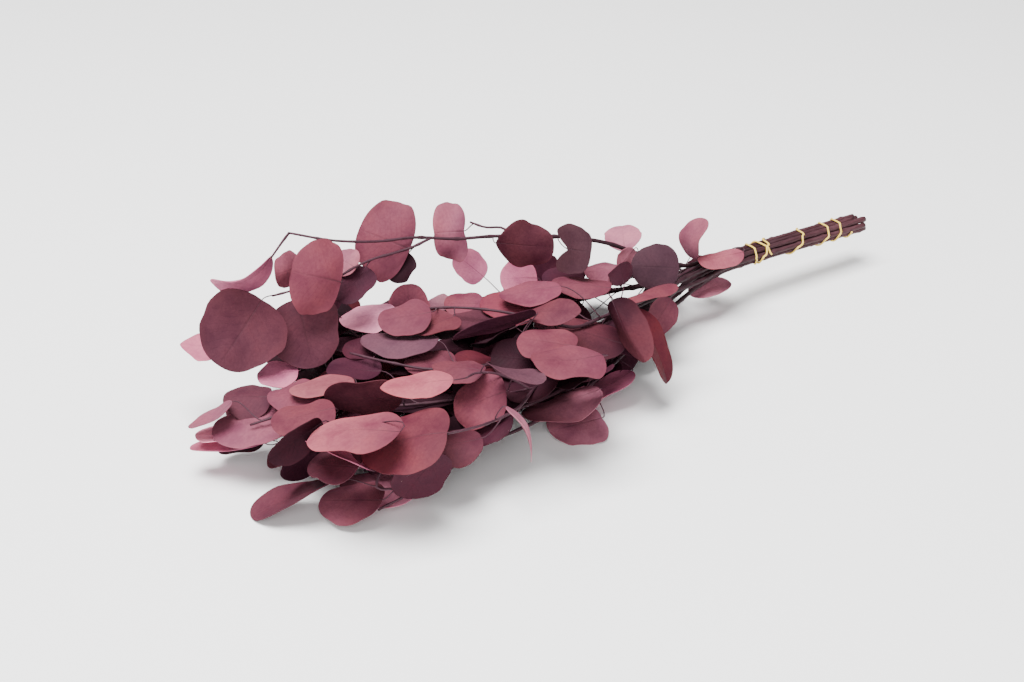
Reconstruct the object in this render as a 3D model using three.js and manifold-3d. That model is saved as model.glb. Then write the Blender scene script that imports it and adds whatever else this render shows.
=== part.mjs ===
// A bunch of dyed, preserved eucalyptus that lies on a table: ten leafy stems, held near
// their cut ends by an elastic tie. Millimetres, +Z up, the table is z = 0, and +X runs
// along the bunch to the cut ends.
//
// Places are given as sight marks, [u, v, height]: u right and v down in the frame of a
// viewer who looks down at the bunch from its front corner, and the height above the table.

import * as THREE from "three";
import { mergeVertices } from "three/addons/utils/BufferGeometryUtils.js";
import Module from "manifold-3d";

const wasm = await Module();
wasm.setup();

// The viewer of the sight marks
const FRAME_WIDTH = 1024;
const FRAME_HEIGHT = 682;
const LENS = 60;
const FILM_WIDTH = 36;
const AZIMUTH = THREE.MathUtils.degToRad(-39);
const ELEVATION = THREE.MathUtils.degToRad(28);
const VIEW_DISTANCE = 1440;
const VIEW_TARGET = new THREE.Vector3(-90, -9, 60);

// Blades
const BLADE_THICKNESS = 0.7;
const RIB_RISE = 0.15; // how far the midrib stands out of each face at the base
const BLADE_ROWS = [[56, 7], [44, 6], [0, 5]]; // rows of triangles, by a blade's least width
const HIDDEN_ROWS = 4; // of a blade behind the ones that show
const EGG = 0.25; // how much wider a blade is towards its base
const BLUNT = 2.3; // how full a blade's outline is: 2 is an ellipse, and more is squarer
const RIPPLE = 0.04; // share of the width that the margin wanders in and out
const RIPPLE_ALONG = 9; // how fast the margin wanders from base to tip, in radians
const RIPPLE_ACROSS = 4; // how far one margin's wandering is out of step with the other's
const SLOPE_STEP = 0.01; // step at which a blade's slope is taken
const BLADE_END = 1e-6; // this near to its base or tip, a blade faces as its midrib does
const GAP = 0.3; // least gap between two leafy stems

// Stems, twigs and stalks
const STEM_RADIUS = 2.6;
const STEM_TIP_RADIUS = 0.9;
const STEM_SIDES = 5;
const STEM_STEP = 38; // length of one straight stretch of a main stem
const TWIG_RADIUS = 1.1;
const TWIG_SIDES = 4;
const TWIG_STEP = 18;
const STALK_RADIUS = 0.8;
const STALK_PIECES = 2;
const STALK_ANGLE = 0.7; // the angle, in radians, at which a stalk leaves its stem best
const STALK_BEND_COST = 0.35;
const STALK_ROOTS = [0, 1 / 3, 2 / 3]; // where a stalk can leave a straight stretch of wood
const STALK_EASE = 0.3; // share of its length over which a stalk bends into line at each end
const STALK_GUARD = 1.3; // radius round a stalk that stays clear
const STALK_STARTS = 24; // roots on the stem that a stalk tries, the best first
const STALK_BOWS = [[0, 0, 0], [0, 0, 0.25], [0, 0, -0.25], [0, 0.25, 0], [0, -0.25, 0]];
const STALK_LIFT = 2; // least height of a stalk's bends above the table

// The tied part of the bunch: the axis from the cut ends to where the stems spread
const BUNDLE_AXIS = [[862, 221, 42], [825, 232, 43], [790, 242, 44], [757, 252, 45], [725, 262, 46]];
const SPREAD = [692, 276, 48];
const SPREAD_FACTOR = 1.5;
const SLOT_PITCH = 5.6;
const SLOT_ROW_RISE = 4.9;

// A stem's slot is [places sideways, rows up] from the axis, its trim is how far its cut
// end lies short of the longest one, and leafy is the share of its length that has leaves.
const STEMS = {
  1: {
    slot: [1, 1], trim: 8, leafy: [0.45, 1], colour: "#8f4f60",
    route: [[655, 258, 78], [625, 250, 96], [597, 240, 110], [560, 237, 120], [500, 236, 130],
      [466, 238, 135], [432, 240, 140], [409, 237, 144], [360, 243, 150], [330, 240, 155], [289, 233, 160]],
  },
  2: {
    slot: [1.5, 0], trim: 0, leafy: [0.3, 0.9], colour: "#9c5868",
    route: [[650, 285, 56], [610, 290, 62], [560, 296, 66], [500, 306, 68], [440, 316, 68],
      [380, 330, 64], [320, 350, 58], [270, 366, 54]],
  },
  3: {
    slot: [-1, 1], trim: 3, leafy: [0.35, 1], colour: "#a05a62",
    route: [[650, 297, 64], [600, 318, 74], [560, 328, 80], [527, 316, 86], [480, 309, 90],
      [430, 308, 92], [395, 313, 92]],
  },
  4: {
    slot: [-0.5, 0], trim: 12, leafy: [0.35, 0.95], colour: "#a85f6c",
    route: [[650, 311, 51], [600, 345, 58], [553, 377, 66], [532, 390, 70], [522, 405, 70],
      [500, 417, 72], [470, 430, 76], [446, 434, 80]],
  },
  5: {
    slot: [-1, -1], trim: 2, leafy: [0.3, 0.95], colour: "#86475a",
    route: [[640, 338, 32], [590, 385, 30], [540, 420, 28], [480, 446, 28], [446, 472, 26],
      [410, 494, 24], [378, 510, 10]],
  },
  6: {
    slot: [-1.5, 0], trim: 6, leafy: [0.3, 0.95], colour: "#92525e",
    route: [[640, 305, 62], [580, 338, 67], [520, 358, 70], [460, 368, 72], [410, 368, 74],
      [375, 358, 76], [350, 353, 74]],
  },
  7: {
    slot: [0.5, 0], trim: 10, leafy: [0.35, 0.95], colour: "#94525f",
    route: [[640, 318, 46], [580, 356, 52], [520, 382, 54], [450, 400, 56], [390, 406, 58],
      [330, 405, 60], [290, 412, 58], [250, 425, 50]],
  },
  8: {
    slot: [0, -1], trim: 5, leafy: [0.35, 0.95], colour: "#7d3f4e",
    route: [[640, 327, 38], [590, 372, 38], [540, 400, 40], [480, 420, 44], [430, 434, 46],
      [380, 446, 48], [330, 452, 44], [290, 460, 36]],
  },
  9: {
    slot: [0, 1], trim: 14, leafy: [0.5, 1], colour: "#6f3a4a",
    route: [[662, 288, 68], [640, 300, 74], [625, 314, 70]],
  },
  10: {
    slot: [1, -1], trim: 7, leafy: [0.3, 0.95], colour: "#5f3342",
    route: [[640, 285, 40], [580, 300, 40], [520, 315, 40], [450, 332, 40], [380, 348, 36],
      [310, 366, 30]],
  },
};

// Side twigs that fork from a main stem
const TWIGS = [
  { stem: 1, route: [[432, 240, 140], [410, 248, 136], [365, 262, 132], [330, 281, 124],
    [295, 290, 120], [272, 296, 117]] },
  { stem: 1, route: [[512, 236, 128], [500, 227, 131], [483, 227, 132], [470, 222, 134]] },
  { stem: 1, route: [[289, 233, 160], [280, 245, 157], [271, 258, 150]] },
  { stem: 4, route: [[532, 390, 70], [505, 376, 82], [482, 372, 88], [466, 378, 94]] },
  { stem: 4, route: [[553, 377, 66], [562, 380, 62], [598, 366, 62]] },
  { stem: 5, route: [[412, 493, 24], [404, 489, 31], [374, 486, 40], [381, 471, 47], [402, 481, 43]] },
];

// Leaves that show from the front corner. A blade runs from its base to its tip. roll turns
// it about that line, in degrees, from facing the viewer, and twist turns its tip end
// further. arch lifts its middle and cup its margins, in mm, and bend moves its middle
// sideways. lobe draws the base's two shoulders back past the stalk, and notch does so at
// the tip: less than 0 narrows them. blunt is its own fullness, where it isn't BLUNT.
const LEAVES = [
  { name: "spray_round", stem: 1, base: [262, 300, 116], tip: [219, 366, 70],
    width: 71, arch: -3, cup: 4, lobe: 0.05 },
  { name: "spray_oval", stem: 1, base: [341, 282, 126], tip: [291, 271, 140],
    width: 68, arch: 4, cup: -3, blunt: 2.4 },
  { name: "spray_tilted", stem: 1, base: [410, 249, 136], tip: [359, 229, 150],
    width: 71, arch: 3, cup: -4, blunt: 2.5 },
  { name: "spray_kidney", stem: 1, base: [464, 231, 128], tip: [434, 233, 128],
    width: 54, lobe: 0.3, notch: 0.12, cup: -6, blunt: 2.4 },
  { name: "spray_heart", stem: 1, base: [496, 243, 128], tip: [554, 247, 126],
    width: 46, roll: -30, lobe: -0.2, cup: -3, blunt: 2.7 },
  { name: "spray_bent", stem: 1, base: [568, 249, 112], tip: [591, 252, 117],
    width: 46, lobe: 1.2, cup: 2 },
  { name: "spray_curl", stem: 1, base: [270, 257, 148], tip: [213, 284, 122],
    width: 34, roll: 62, twist: -45, arch: 10, cup: 2 },
  { name: "spray_small", stem: 1, base: [302, 266, 126], tip: [275, 275, 128],
    width: 32, roll: 20, cup: -4 },
  { name: "spray_peep", stem: 1, base: [356, 268, 130], tip: [336, 256, 132], width: 26, cup: 2 },
  { name: "spray_half", stem: 1, base: [366, 267, 130], tip: [341, 303, 112],
    width: 34, roll: -30, cup: 2 },
  { name: "spray_back", stem: 1, base: [409, 253, 134], tip: [391, 281, 112],
    width: 30, roll: -30, cup: 2 },
  { name: "spray_low", stem: 1, base: [298, 299, 105], tip: [313, 368, 58], width: 61, arch: 3, cup: 3 },
  { name: "neck_crescent", stem: 1, base: [690, 257, 66], tip: [706, 219, 100],
    width: 34, roll: 50, arch: 7, cup: 2 },
  { name: "neck_folded", stem: 1, base: [743, 252, 62], tip: [699, 262, 66],
    width: 22, roll: -35, cup: -2 },
  { name: "behind_round", stem: 2, base: [222, 348, 66], tip: [180, 344, 66],
    width: 32, roll: -30, notch: -0.4, cup: 2 },
  { name: "under_round", stem: 2, base: [298, 371, 60], tip: [257, 376, 58], width: 42, roll: -58, cup: 2 },
  { name: "upright_pale", stem: 2, base: [625, 252, 98], tip: [622, 226, 96],
    width: 36, lobe: -0.3, notch: 0.1, cup: 2 },
  { name: "upright_small", stem: 2, base: [634, 249, 95], tip: [619, 268, 80],
    width: 18, roll: 30, cup: 2 },
  { name: "hanging_pale", stem: 2, base: [484, 277, 80], tip: [455, 254, 95], width: 30, roll: 10, cup: 2 },
  { name: "hanging_pink", stem: 2, base: [537, 278, 82], tip: [500, 279, 84],
    width: 36, roll: -15, cup: 2 },
  { name: "ridge_pink", stem: 2, base: [396, 309, 82], tip: [340, 322, 78], width: 44, roll: -58, cup: -2 },
  { name: "ridge_dark", stem: 2, base: [411, 322, 68], tip: [407, 284, 92], width: 38, arch: -2, cup: -3 },
  { name: "ridge_pale", stem: 2, base: [449, 306, 70], tip: [427, 303, 70], width: 30, roll: -55, cup: 2 },
  { name: "ridge_rose", stem: 2, base: [484, 303, 80], tip: [444, 304, 80], width: 42, roll: -55, cup: -3 },
  { name: "ridge_lying", stem: 2, base: [611, 288, 92], tip: [552, 281, 92],
    width: 40, roll: -62, cup: -2 },
  { name: "ridge_rust", stem: 2, base: [626, 269, 84], tip: [584, 272, 84], width: 42, roll: -60, cup: -2 },
  { name: "ridge_wedge", stem: 2, base: [585, 273, 84], tip: [542, 279, 80], width: 34, roll: -60, cup: 2 },
  { name: "crest_oblong", stem: 3, base: [431, 312, 96], tip: [378, 322, 90],
    width: 46, roll: -52, cup: -2 },
  { name: "crest_large", stem: 3, base: [558, 303, 86], tip: [480, 303, 83],
    width: 58, roll: -58, cup: -3 },
  { name: "crest_lying", stem: 3, base: [560, 286, 97], tip: [500, 297, 94],
    width: 44, roll: -62, cup: -2 },
  { name: "crest_thin", stem: 3, base: [577, 292, 90], tip: [532, 304, 86], width: 38, roll: -62, cup: 2 },
  { name: "crest_pointed", stem: 3, base: [527, 312, 94], tip: [581, 311, 106],
    width: 34, roll: 50, twist: -50, notch: -0.2, cup: 2 },
  { name: "crest_rust", stem: 3, base: [454, 316, 88], tip: [416, 334, 86], width: 40, roll: -55, cup: 2 },
  { name: "hero_rose", stem: 4, base: [484, 371, 92], tip: [432, 365, 90],
    width: 38, roll: -58, notch: -0.2, cup: -2 },
  { name: "hero_tongue", stem: 4, base: [453, 380, 98], tip: [380, 388, 92],
    width: 40, roll: -60, notch: -0.1, cup: -3, blunt: 2.1 },
  { name: "hero_broad", stem: 4, base: [447, 433, 84], tip: [362, 451, 60],
    width: 64, roll: -46, arch: 3, cup: -4, lobe: 0.08 },
  { name: "hero_round", stem: 4, base: [506, 392, 86], tip: [454, 410, 66], width: 50, roll: -30, cup: -3 },
  { name: "hero_under", stem: 4, base: [513, 417, 56], tip: [464, 436, 38], width: 38, roll: -46, cup: -3 },
  { name: "hero_mauve", stem: 4, base: [482, 438, 46], tip: [422, 452, 40], width: 46, roll: -52, cup: -3 },
  { name: "hero_finger", stem: 4, base: [488, 364, 98], tip: [545, 381, 98],
    width: 30, roll: 72, twist: -50, cup: 2 },
  { name: "hero_ribbon", stem: 4, base: [506, 407, 86], tip: [531, 462, 42],
    width: 17, roll: 80, arch: 6, cup: 2 },
  { name: "fork_dusky", stem: 4, base: [626, 345, 60], tip: [558, 324, 74],
    width: 52, roll: -52, cup: -4 },
  { name: "right_boat", stem: 5, base: [600, 389, 38], tip: [523, 416, 30], width: 46, roll: -58, cup: -3 },
  { name: "right_table", stem: 5, base: [602, 418, 7.5], tip: [549, 431, 5.5],
    width: 54, roll: -45, lobe: 0.1, cup: -2 },
  { name: "right_wedge", stem: 5, base: [632, 371, 34], tip: [578, 404, 20], width: 34, roll: -60, cup: 2 },
  { name: "front_mauve", stem: 5, base: [416, 493, 30], tip: [341, 480, 30],
    width: 42, roll: -50, cup: -2 },
  { name: "front_round", stem: 5, base: [382, 500, 20], tip: [320, 500, 8],
    width: 45, roll: -42, cup: -3 },
  { name: "front_twisted", stem: 5, base: [338, 480, 34], tip: [250, 512, 1],
    width: 42, roll: -66, twist: 40, cup: 3, bend: -3 },
  { name: "front_wine", stem: 5, base: [437, 452, 46], tip: [404, 498, 4], width: 48, roll: 38, cup: 3 },
  { name: "lobe_upper", stem: 6, base: [576, 346, 96], tip: [518, 338, 96], width: 48, roll: -55, cup: -3 },
  { name: "lobe_lower", stem: 6, base: [603, 356, 90], tip: [533, 362, 97], width: 50, roll: -56, cup: -3 },
  { name: "mass_rolled", stem: 6, base: [536, 315, 92], tip: [453, 339, 92], width: 26, roll: 64, cup: 4 },
  { name: "mass_long", stem: 6, base: [438, 341, 84], tip: [361, 338, 80], width: 46, roll: -62, cup: -3 },
  { name: "mass_small", stem: 6, base: [374, 353, 72], tip: [345, 344, 74], width: 30, roll: -45, cup: 3 },
  { name: "mass_mauve", stem: 6, base: [492, 318, 78], tip: [450, 326, 80], width: 36, roll: -58, cup: 2 },
  { name: "mass_rust", stem: 6, base: [456, 362, 80], tip: [404, 363, 80], width: 44, roll: -58, cup: -3 },
  { name: "mass_brown", stem: 6, base: [506, 370, 82], tip: [456, 354, 86], width: 34, roll: -60, cup: -2 },
  { name: "mass_dusky", stem: 6, base: [536, 360, 70], tip: [491, 356, 72], width: 44, roll: -36, cup: 3 },
  { name: "left_wine", stem: 7, base: [402, 399, 72], tip: [324, 397, 74], width: 46, roll: 52, cup: 1 },
  { name: "left_under", stem: 7, base: [454, 400, 62], tip: [384, 408, 62], width: 40, roll: -66, cup: 2 },
  { name: "left_grey", stem: 7, base: [381, 371, 70], tip: [327, 368, 70], width: 40, roll: -60, cup: 2 },
  { name: "left_rose", stem: 7, base: [322, 390, 68], tip: [267, 397, 64], width: 44, roll: -58, cup: -2 },
  { name: "left_blush", stem: 7, base: [353, 379, 72], tip: [290, 393, 72], width: 34, roll: -62, cup: -2 },
  { name: "left_round", stem: 7, base: [272, 396, 58], tip: [223, 398, 56],
    width: 44, roll: -48, cup: -4 },
  { name: "left_sickle", stem: 7, base: [232, 402, 62], tip: [188, 427, 46],
    width: 30, roll: -74, arch: -3, cup: 2 },
  { name: "left_long", stem: 7, base: [298, 413, 60], tip: [212, 432, 48], width: 58, roll: -54, cup: -2 },
  { name: "left_coral", stem: 7, base: [238, 433, 40], tip: [195, 435, 40], width: 30, roll: -62, cup: 2 },
  { name: "left_thin", stem: 7, base: [262, 442, 30], tip: [190, 447, 24], width: 30, roll: -66, cup: 2 },
  { name: "left_salmon", stem: 7, base: [335, 408, 70], tip: [271, 424, 62],
    width: 48, roll: -56, cup: -2 },
  { name: "left_deep", stem: 7, base: [270, 409, 50], tip: [226, 411, 48], width: 32, roll: -62, cup: -2 },
  { name: "left_lilac", stem: 7, base: [402, 412, 60], tip: [338, 415, 58], width: 36, roll: -60, cup: 2 },
  { name: "low_sliver", stem: 8, base: [264, 441, 18], tip: [218, 450, 12], width: 30, roll: -62, cup: 2 },
  { name: "low_purple", stem: 8, base: [322, 422, 62], tip: [268, 460, 44], width: 30, roll: 38, cup: 2 },
  { name: "low_plum", stem: 8, base: [302, 448, 34], tip: [267, 462, 20], width: 28, roll: -45, cup: 3 },
  { name: "low_wine", stem: 8, base: [315, 437, 60], tip: [291, 481, 22], width: 40, roll: 44, cup: 2 },
  { name: "low_maroon", stem: 8, base: [358, 468, 54], tip: [310, 462, 46], width: 40, roll: -42, cup: 3 },
  { name: "low_pale", stem: 8, base: [400, 432, 84], tip: [309, 438, 64],
    width: 54, roll: -58, arch: 4, cup: -3 },
  { name: "low_ribbon", stem: 8, base: [370, 470, 54], tip: [306, 441, 66], width: 28, roll: -77, cup: 2 },
  { name: "fork_dark", stem: 9, base: [679, 268, 80], tip: [631, 266, 84], width: 42, arch: 4, cup: -4 },
  { name: "fork_brown", stem: 3, base: [624, 284, 80], tip: [620, 264, 84], width: 24, roll: 20, cup: 2 },
  { name: "fork_folded", stem: 9, base: [612, 300, 92], tip: [646, 362, 46],
    width: 36, roll: -38, arch: 4, cup: -5 },
  { name: "fork_droop", stem: 9, base: [632, 311, 88], tip: [667, 383, 27],
    width: 34, roll: 56, arch: 5, cup: -3 },
  { name: "fork_under", stem: 9, base: [671, 299, 62], tip: [649, 335, 36], width: 32, roll: 30, cup: 2 },
  { name: "fork_strip", stem: 9, base: [673, 284, 84], tip: [612, 304, 94],
    width: 30, roll: -72, cup: -4 },
  { name: "neck_dark", stem: 10, base: [713, 262, 44], tip: [689, 268, 44], width: 26, roll: -45, cup: 2 },
  { name: "neck_brown", stem: 5, base: [690, 295, 34], tip: [730, 282, 32], width: 24, roll: 38, cup: 2 },
  { name: "rest_back", stem: 10, base: [470, 346, 1], tip: [420, 356, -2], width: 46, roll: -60 },
  { name: "rest_far", stem: 10, base: [580, 318, 1], tip: [535, 326, -2], width: 44, roll: -60 },
];
const SHIFT_STEP = 3; // a leaf that meets another moves along the line of sight by this
const SHIFT_TRIES = 35;
const LOWEST = -4; // a blade that reaches below the table lies flat on it

// Leaves that fill the bunch behind those: pairs along each stem, each pair turned from
// the last, drawn with a seeded generator
const FILLER_STEMS = [2, 3, 4, 5, 6, 7, 8, 10];
const FILLER_STEP = 48;
const FILLER_TRIES = 16;
const FILLER_WIDTH = [40, 58];
const FILLER_STALK = [12, 26];
const FILLER_LEAN = [35, 75]; // degrees from the stem's own direction
const FILLER_SWING = [-0.7, 0.7]; // radians round the stem from the pair's own place
const FILLER_LENGTH = [0.85, 1.1]; // as a share of its width
const FILLER_TILT = [-0.5, 0.5]; // how far it faces away from upwards
const FILLER_ROLL = [-35, 35];
const FILLER_CUP = [-5, 4];
const FILLER_ARCH = [-3, 5];
const FILLER_LOWEST = 1; // least height of its base and tip above the table
const HIDDEN_SHARE = 0.84; // share of a filler's outline that the leaves in front cover
const SEED = 20;
const OUTLINE_STEPS = 8; // places along a shown leaf's outline, on each side
const FILLER_OUTLINE_STEPS = 6;

// Solids
const WELD = 1e-4; // corners nearer than this are one
const FINEST = 0.08; // edges shorter than this fall together in a fused body

// The elastic tie: a flat band that goes once round the bundle from each mark u to the next
const TIE_WIDTH = 2.4;
const TIE_THICKNESS = 0.9;
const TIE_GAP = 0.5; // from the stems at its corners, so that its straight stretches clear them
const TIE_MARKS = [764, 749, 757, 793, 820, 833, 845];
const TIE_STEPS = 14;
const TIE_PITCH = 2; // step along the axis at which its marks are found
const TIE_COLOUR = "#f0dc8c";
const TIE_ROUGHNESS = 0.8;
const LEAF_ROUGHNESS = 0.6;

function viewDirections() {
  const back = new THREE.Vector3(
    Math.sin(AZIMUTH) * Math.cos(ELEVATION),
    -Math.cos(AZIMUTH) * Math.cos(ELEVATION),
    Math.sin(ELEVATION),
  );
  const right = new THREE.Vector3(Math.cos(AZIMUTH), Math.sin(AZIMUTH), 0);
  const up = new THREE.Vector3().crossVectors(back, right);
  const eye = VIEW_TARGET.clone().addScaledVector(back, VIEW_DISTANCE);
  return { back, right, up, eye };
}

const VIEW = viewDirections();
const FOCAL = (FRAME_WIDTH * LENS) / FILM_WIDTH;

// The point at a sight mark
function sighted([u, v, height]) {
  const ray = VIEW.back.clone().negate();
  ray.addScaledVector(VIEW.right, (u - FRAME_WIDTH / 2) / FOCAL);
  ray.addScaledVector(VIEW.up, (FRAME_HEIGHT / 2 - v) / FOCAL);
  return VIEW.eye.clone().addScaledVector(ray, (height - VIEW.eye.z) / ray.z);
}

// Where the viewer sees a point: [u, v, distance]
function seen(point) {
  const offset = point.clone().sub(VIEW.eye);
  const depth = -offset.dot(VIEW.back);
  const u = FRAME_WIDTH / 2 + (FOCAL * offset.dot(VIEW.right)) / depth;
  const v = FRAME_HEIGHT / 2 - (FOCAL * offset.dot(VIEW.up)) / depth;
  return [u, v, depth];
}

// A point moved away along the viewer's line of sight
function pushed(point, distance) {
  return point.clone().sub(VIEW.eye).multiplyScalar(1 + distance / VIEW_DISTANCE).add(VIEW.eye);
}

function taper(count, from, to) {
  return Array.from({ length: count }, (_, i) => from + ((to - from) * i) / (count - 1));
}

// Points along a smooth line, each about a step from the last
function smoothLine(points, step) {
  const curve = new THREE.CatmullRomCurve3(points, false, "centripetal");
  return curve.getSpacedPoints(Math.max(2, Math.round(curve.getLength() / step)));
}

// A closed solid from triangles, without those whose corners fall together
function solidOf(positions, triangles) {
  const geometry = new THREE.BufferGeometry();
  geometry.setAttribute("position", new THREE.Float32BufferAttribute(positions, 3));
  geometry.setIndex(Array.from(triangles));
  const welded = mergeVertices(geometry, WELD);
  const corners = welded.index.array;
  const kept = [];
  for (let i = 0; i < corners.length; i += 3) {
    const [a, b, c] = [corners[i], corners[i + 1], corners[i + 2]];
    if (a !== b && b !== c && c !== a) {
      kept.push(a, b, c);
    }
  }
  return new wasm.Manifold(new wasm.Mesh({
    numProp: 3,
    vertProperties: new Float32Array(welded.attributes.position.array),
    triVerts: new Uint32Array(kept),
  }));
}

// Directions across a line of points, carried along it without turning about it
function carriedFrames(points, firstSide = null) {
  const frames = [];
  let side = firstSide;
  for (let i = 0; i < points.length; i++) {
    const before = points[Math.max(i - 1, 0)];
    const after = points[Math.min(i + 1, points.length - 1)];
    const tangent = after.clone().sub(before).normalize();
    side = side ?? new THREE.Vector3(0, 0, 1).cross(tangent);
    side = side.clone().addScaledVector(tangent, -side.dot(tangent)).normalize();
    frames.push({ side, tangent, lift: side.clone().cross(tangent) });
  }
  return frames;
}

// A round rod through points, with a radius at each
function rod(points, radii, sides) {
  const segments = points.length - 1;
  const geometry = new THREE.CylinderGeometry(1, 1, 1, sides, segments);
  const place = geometry.attributes.position;
  const frames = carriedFrames(points);
  for (let i = 0; i < place.count; i++) {
    const station = Math.round((place.getY(i) + 0.5) * segments);
    const spot = points[station].clone();
    spot.addScaledVector(frames[station].side, place.getX(i) * radii[station]);
    spot.addScaledVector(frames[station].lift, place.getZ(i) * radii[station]);
    place.setXYZ(i, spot.x, spot.y, spot.z);
  }
  return solidOf(place.array, geometry.index.array);
}

// How wide a blade is at s, from base (0) to tip (1), as a share of its full half width
function fullness(s, blunt) {
  const outline = Math.max(1 - Math.abs(2 * s - 1) ** blunt, 0) ** (1 / blunt);
  return outline * (1 + EGG * (0.5 - s));
}

// A blade's middle surface: point(s, t) with t from -1 to 1 across it, normal(s, t), and
// turned(s), which gives the directions out of it and across it at its midrib
function bladeSurface(leaf, margin = 0) {
  const { base, tip, facing, width, roll = 0, twist = 0 } = leaf;
  const { arch = 0, cup = 0, lobe = 0, notch = 0, bend = 0, blunt = BLUNT } = leaf;
  const along = tip.clone().sub(base).normalize();
  const length = tip.distanceTo(base) + 2 * margin;
  const start = base.clone().addScaledVector(along, -margin);
  const ahead = facing.clone().addScaledVector(along, -facing.dot(along)).normalize();
  const aside = ahead.clone().cross(along);

  function turned(s) {
    const angle = THREE.MathUtils.degToRad(roll + twist * (s - 0.5));
    const outward = ahead.clone().multiplyScalar(Math.cos(angle));
    outward.addScaledVector(aside, Math.sin(angle));
    return { outward, across: along.clone().cross(outward) };
  }

  function point(s, t) {
    const { outward, across } = turned(s);
    const full = fullness(s, blunt);
    const ripple = 1 + RIPPLE * Math.sin(width + RIPPLE_ALONG * s + RIPPLE_ACROSS * t);
    const halfWidth = Math.max((width / 2 + margin) * full * ripple, STALK_RADIUS * (1 - s));
    const forward = s + full * t * t * (notch * s * s - lobe * (1 - s) * (1 - s));
    const spot = start.clone().addScaledVector(along, length * forward);
    spot.addScaledVector(across, halfWidth * t + bend * 4 * s * (1 - s));
    spot.addScaledVector(outward, arch * 4 * s * (1 - s) + cup * full * full * t * t);
    spot.z = Math.max(spot.z, BLADE_THICKNESS / 2);
    return spot;
  }

  function normal(s, t) {
    if (s < BLADE_END || s > 1 - BLADE_END) {
      return turned(s).outward;
    }
    const lengthwise = point(Math.min(s + SLOPE_STEP, 1), t).sub(point(Math.max(s - SLOPE_STEP, 0), t));
    const crosswise = point(s, Math.min(t + SLOPE_STEP, 1)).sub(point(s, Math.max(t - SLOPE_STEP, -1)));
    return crosswise.cross(lengthwise).normalize();
  }

  return { point, normal, turned };
}

function bladeRowCount(leaf) {
  if (leaf.hidden) {
    return HIDDEN_ROWS;
  }
  return BLADE_ROWS.find(([least]) => leaf.width >= least)[1];
}

// Rows of three points from a blade's base to its tip, each with its normal and half its
// thickness there
function bladeRows(leaf, thickness, margin = 0) {
  const { point, normal } = bladeSurface(leaf, margin);
  const count = bladeRowCount(leaf);
  return Array.from({ length: count + 1 }, (_, i) => {
    const s = (1 - Math.cos((Math.PI * i) / count)) / 2;
    return [-1, 0, 1].map((t) => {
      const half = thickness / 2 + (t === 0 ? RIB_RISE * (1 - s) : 0);
      return { spot: point(s, t), normal: normal(s, t), half };
    });
  });
}

// Rows of three points along a leaf's stalk, up to its blade
function stalkRows(leaf, way) {
  const fromBlade = bladeSurface(leaf).turned(0).across.clone().negate();
  const frames = carriedFrames([...way].reverse(), fromBlade).reverse();
  return way.slice(0, -1).map((middle, i) => {
    const { side, tangent } = frames[i];
    const across = side.clone().negate();
    const normal = across.clone().cross(tangent.clone().negate());
    return [-1, 0, 1].map((t) => ({
      spot: middle.clone().addScaledVector(across, STALK_RADIUS * t),
      normal,
      half: t === 0 ? STALK_RADIUS : BLADE_THICKNESS / 2,
    }));
  });
}

function aboveTable(point) {
  point.z = Math.max(point.z, 0);
  return point;
}

// A closed sheet with a thickness from rows of three points. Both faces are split alike.
function sheetSolid(rows) {
  const sheet = new THREE.PlaneGeometry(2, 1, 2, rows.length - 1);
  const grid = sheet.attributes.position;
  const count = grid.count;
  const positions = new Float32Array(6 * count);
  for (let i = 0; i < count; i++) {
    const row = Math.round((grid.getY(i) + 0.5) * (rows.length - 1));
    const { spot, normal, half } = rows[row][Math.round(grid.getX(i)) + 1];
    aboveTable(spot.clone().addScaledVector(normal, half)).toArray(positions, 3 * i);
    aboveTable(spot.clone().addScaledVector(normal, -half)).toArray(positions, 3 * (i + count));
  }
  const corners = sheet.index.array;
  const triangles = [];
  const edges = new Map();
  for (let i = 0; i < corners.length; i += 3) {
    const [a, b, c] = [corners[i], corners[i + 1], corners[i + 2]];
    triangles.push(a, b, c, a + count, c + count, b + count);
    for (const [from, to] of [[a, b], [b, c], [c, a]]) {
      edges.set(`${from}>${to}`, [from, to]);
    }
  }
  for (const [from, to] of edges.values()) {
    if (!edges.has(`${to}>${from}`)) {
      triangles.push(to, from, from + count, to, from + count, to + count);
    }
  }
  return solidOf(positions, triangles);
}

// What stands in the way so far: small solids, each with its stem, kind and box
const obstacles = [];

// The pieces that are fused into each leafy stem, and the centre lines of its wood
const pieces = {};
const wood = {};

function boxOf(solid) {
  const { min, max } = solid.boundingBox();
  return new THREE.Box3(new THREE.Vector3(...min), new THREE.Vector3(...max));
}

function block(stem, kind, solid) {
  obstacles.push({ stem, kind, solid, box: boxOf(solid) });
}

function blockRod(stem, kind, line, radii) {
  for (let i = 0; i < line.length - 1; i++) {
    block(stem, kind, rod([line[i], line[i + 1]], [radii[i], radii[i + 1]], STEM_SIDES));
  }
}

// True if a solid meets an obstacle that counts
function meets(solid, counts) {
  const box = boxOf(solid);
  return obstacles.some((other) => {
    if (!counts(other) || !box.intersectsBox(other.box)) {
      return false;
    }
    const common = solid.intersect(other.solid);
    const hit = !common.isEmpty();
    common.delete();
    return hit;
  });
}

// A main stem's line: along its slot in the bundle, then its own route
function stemLine({ slot, trim, route }) {
  const axis = BUNDLE_AXIS.map(sighted);
  const tangent = axis.at(-1).clone().sub(axis[0]).normalize();
  const lift = new THREE.Vector3(0, 0, 1);
  const offset = tangent.clone().cross(lift).normalize().multiplyScalar(slot[0] * SLOT_PITCH);
  offset.addScaledVector(lift, slot[1] * SLOT_ROW_RISE);
  axis[0].addScaledVector(tangent, trim);
  const tied = axis.map((point) => point.add(offset));
  const spread = sighted(SPREAD).addScaledVector(offset, SPREAD_FACTOR);
  return smoothLine([...tied, spread, ...route.map(sighted)], STEM_STEP);
}

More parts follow.
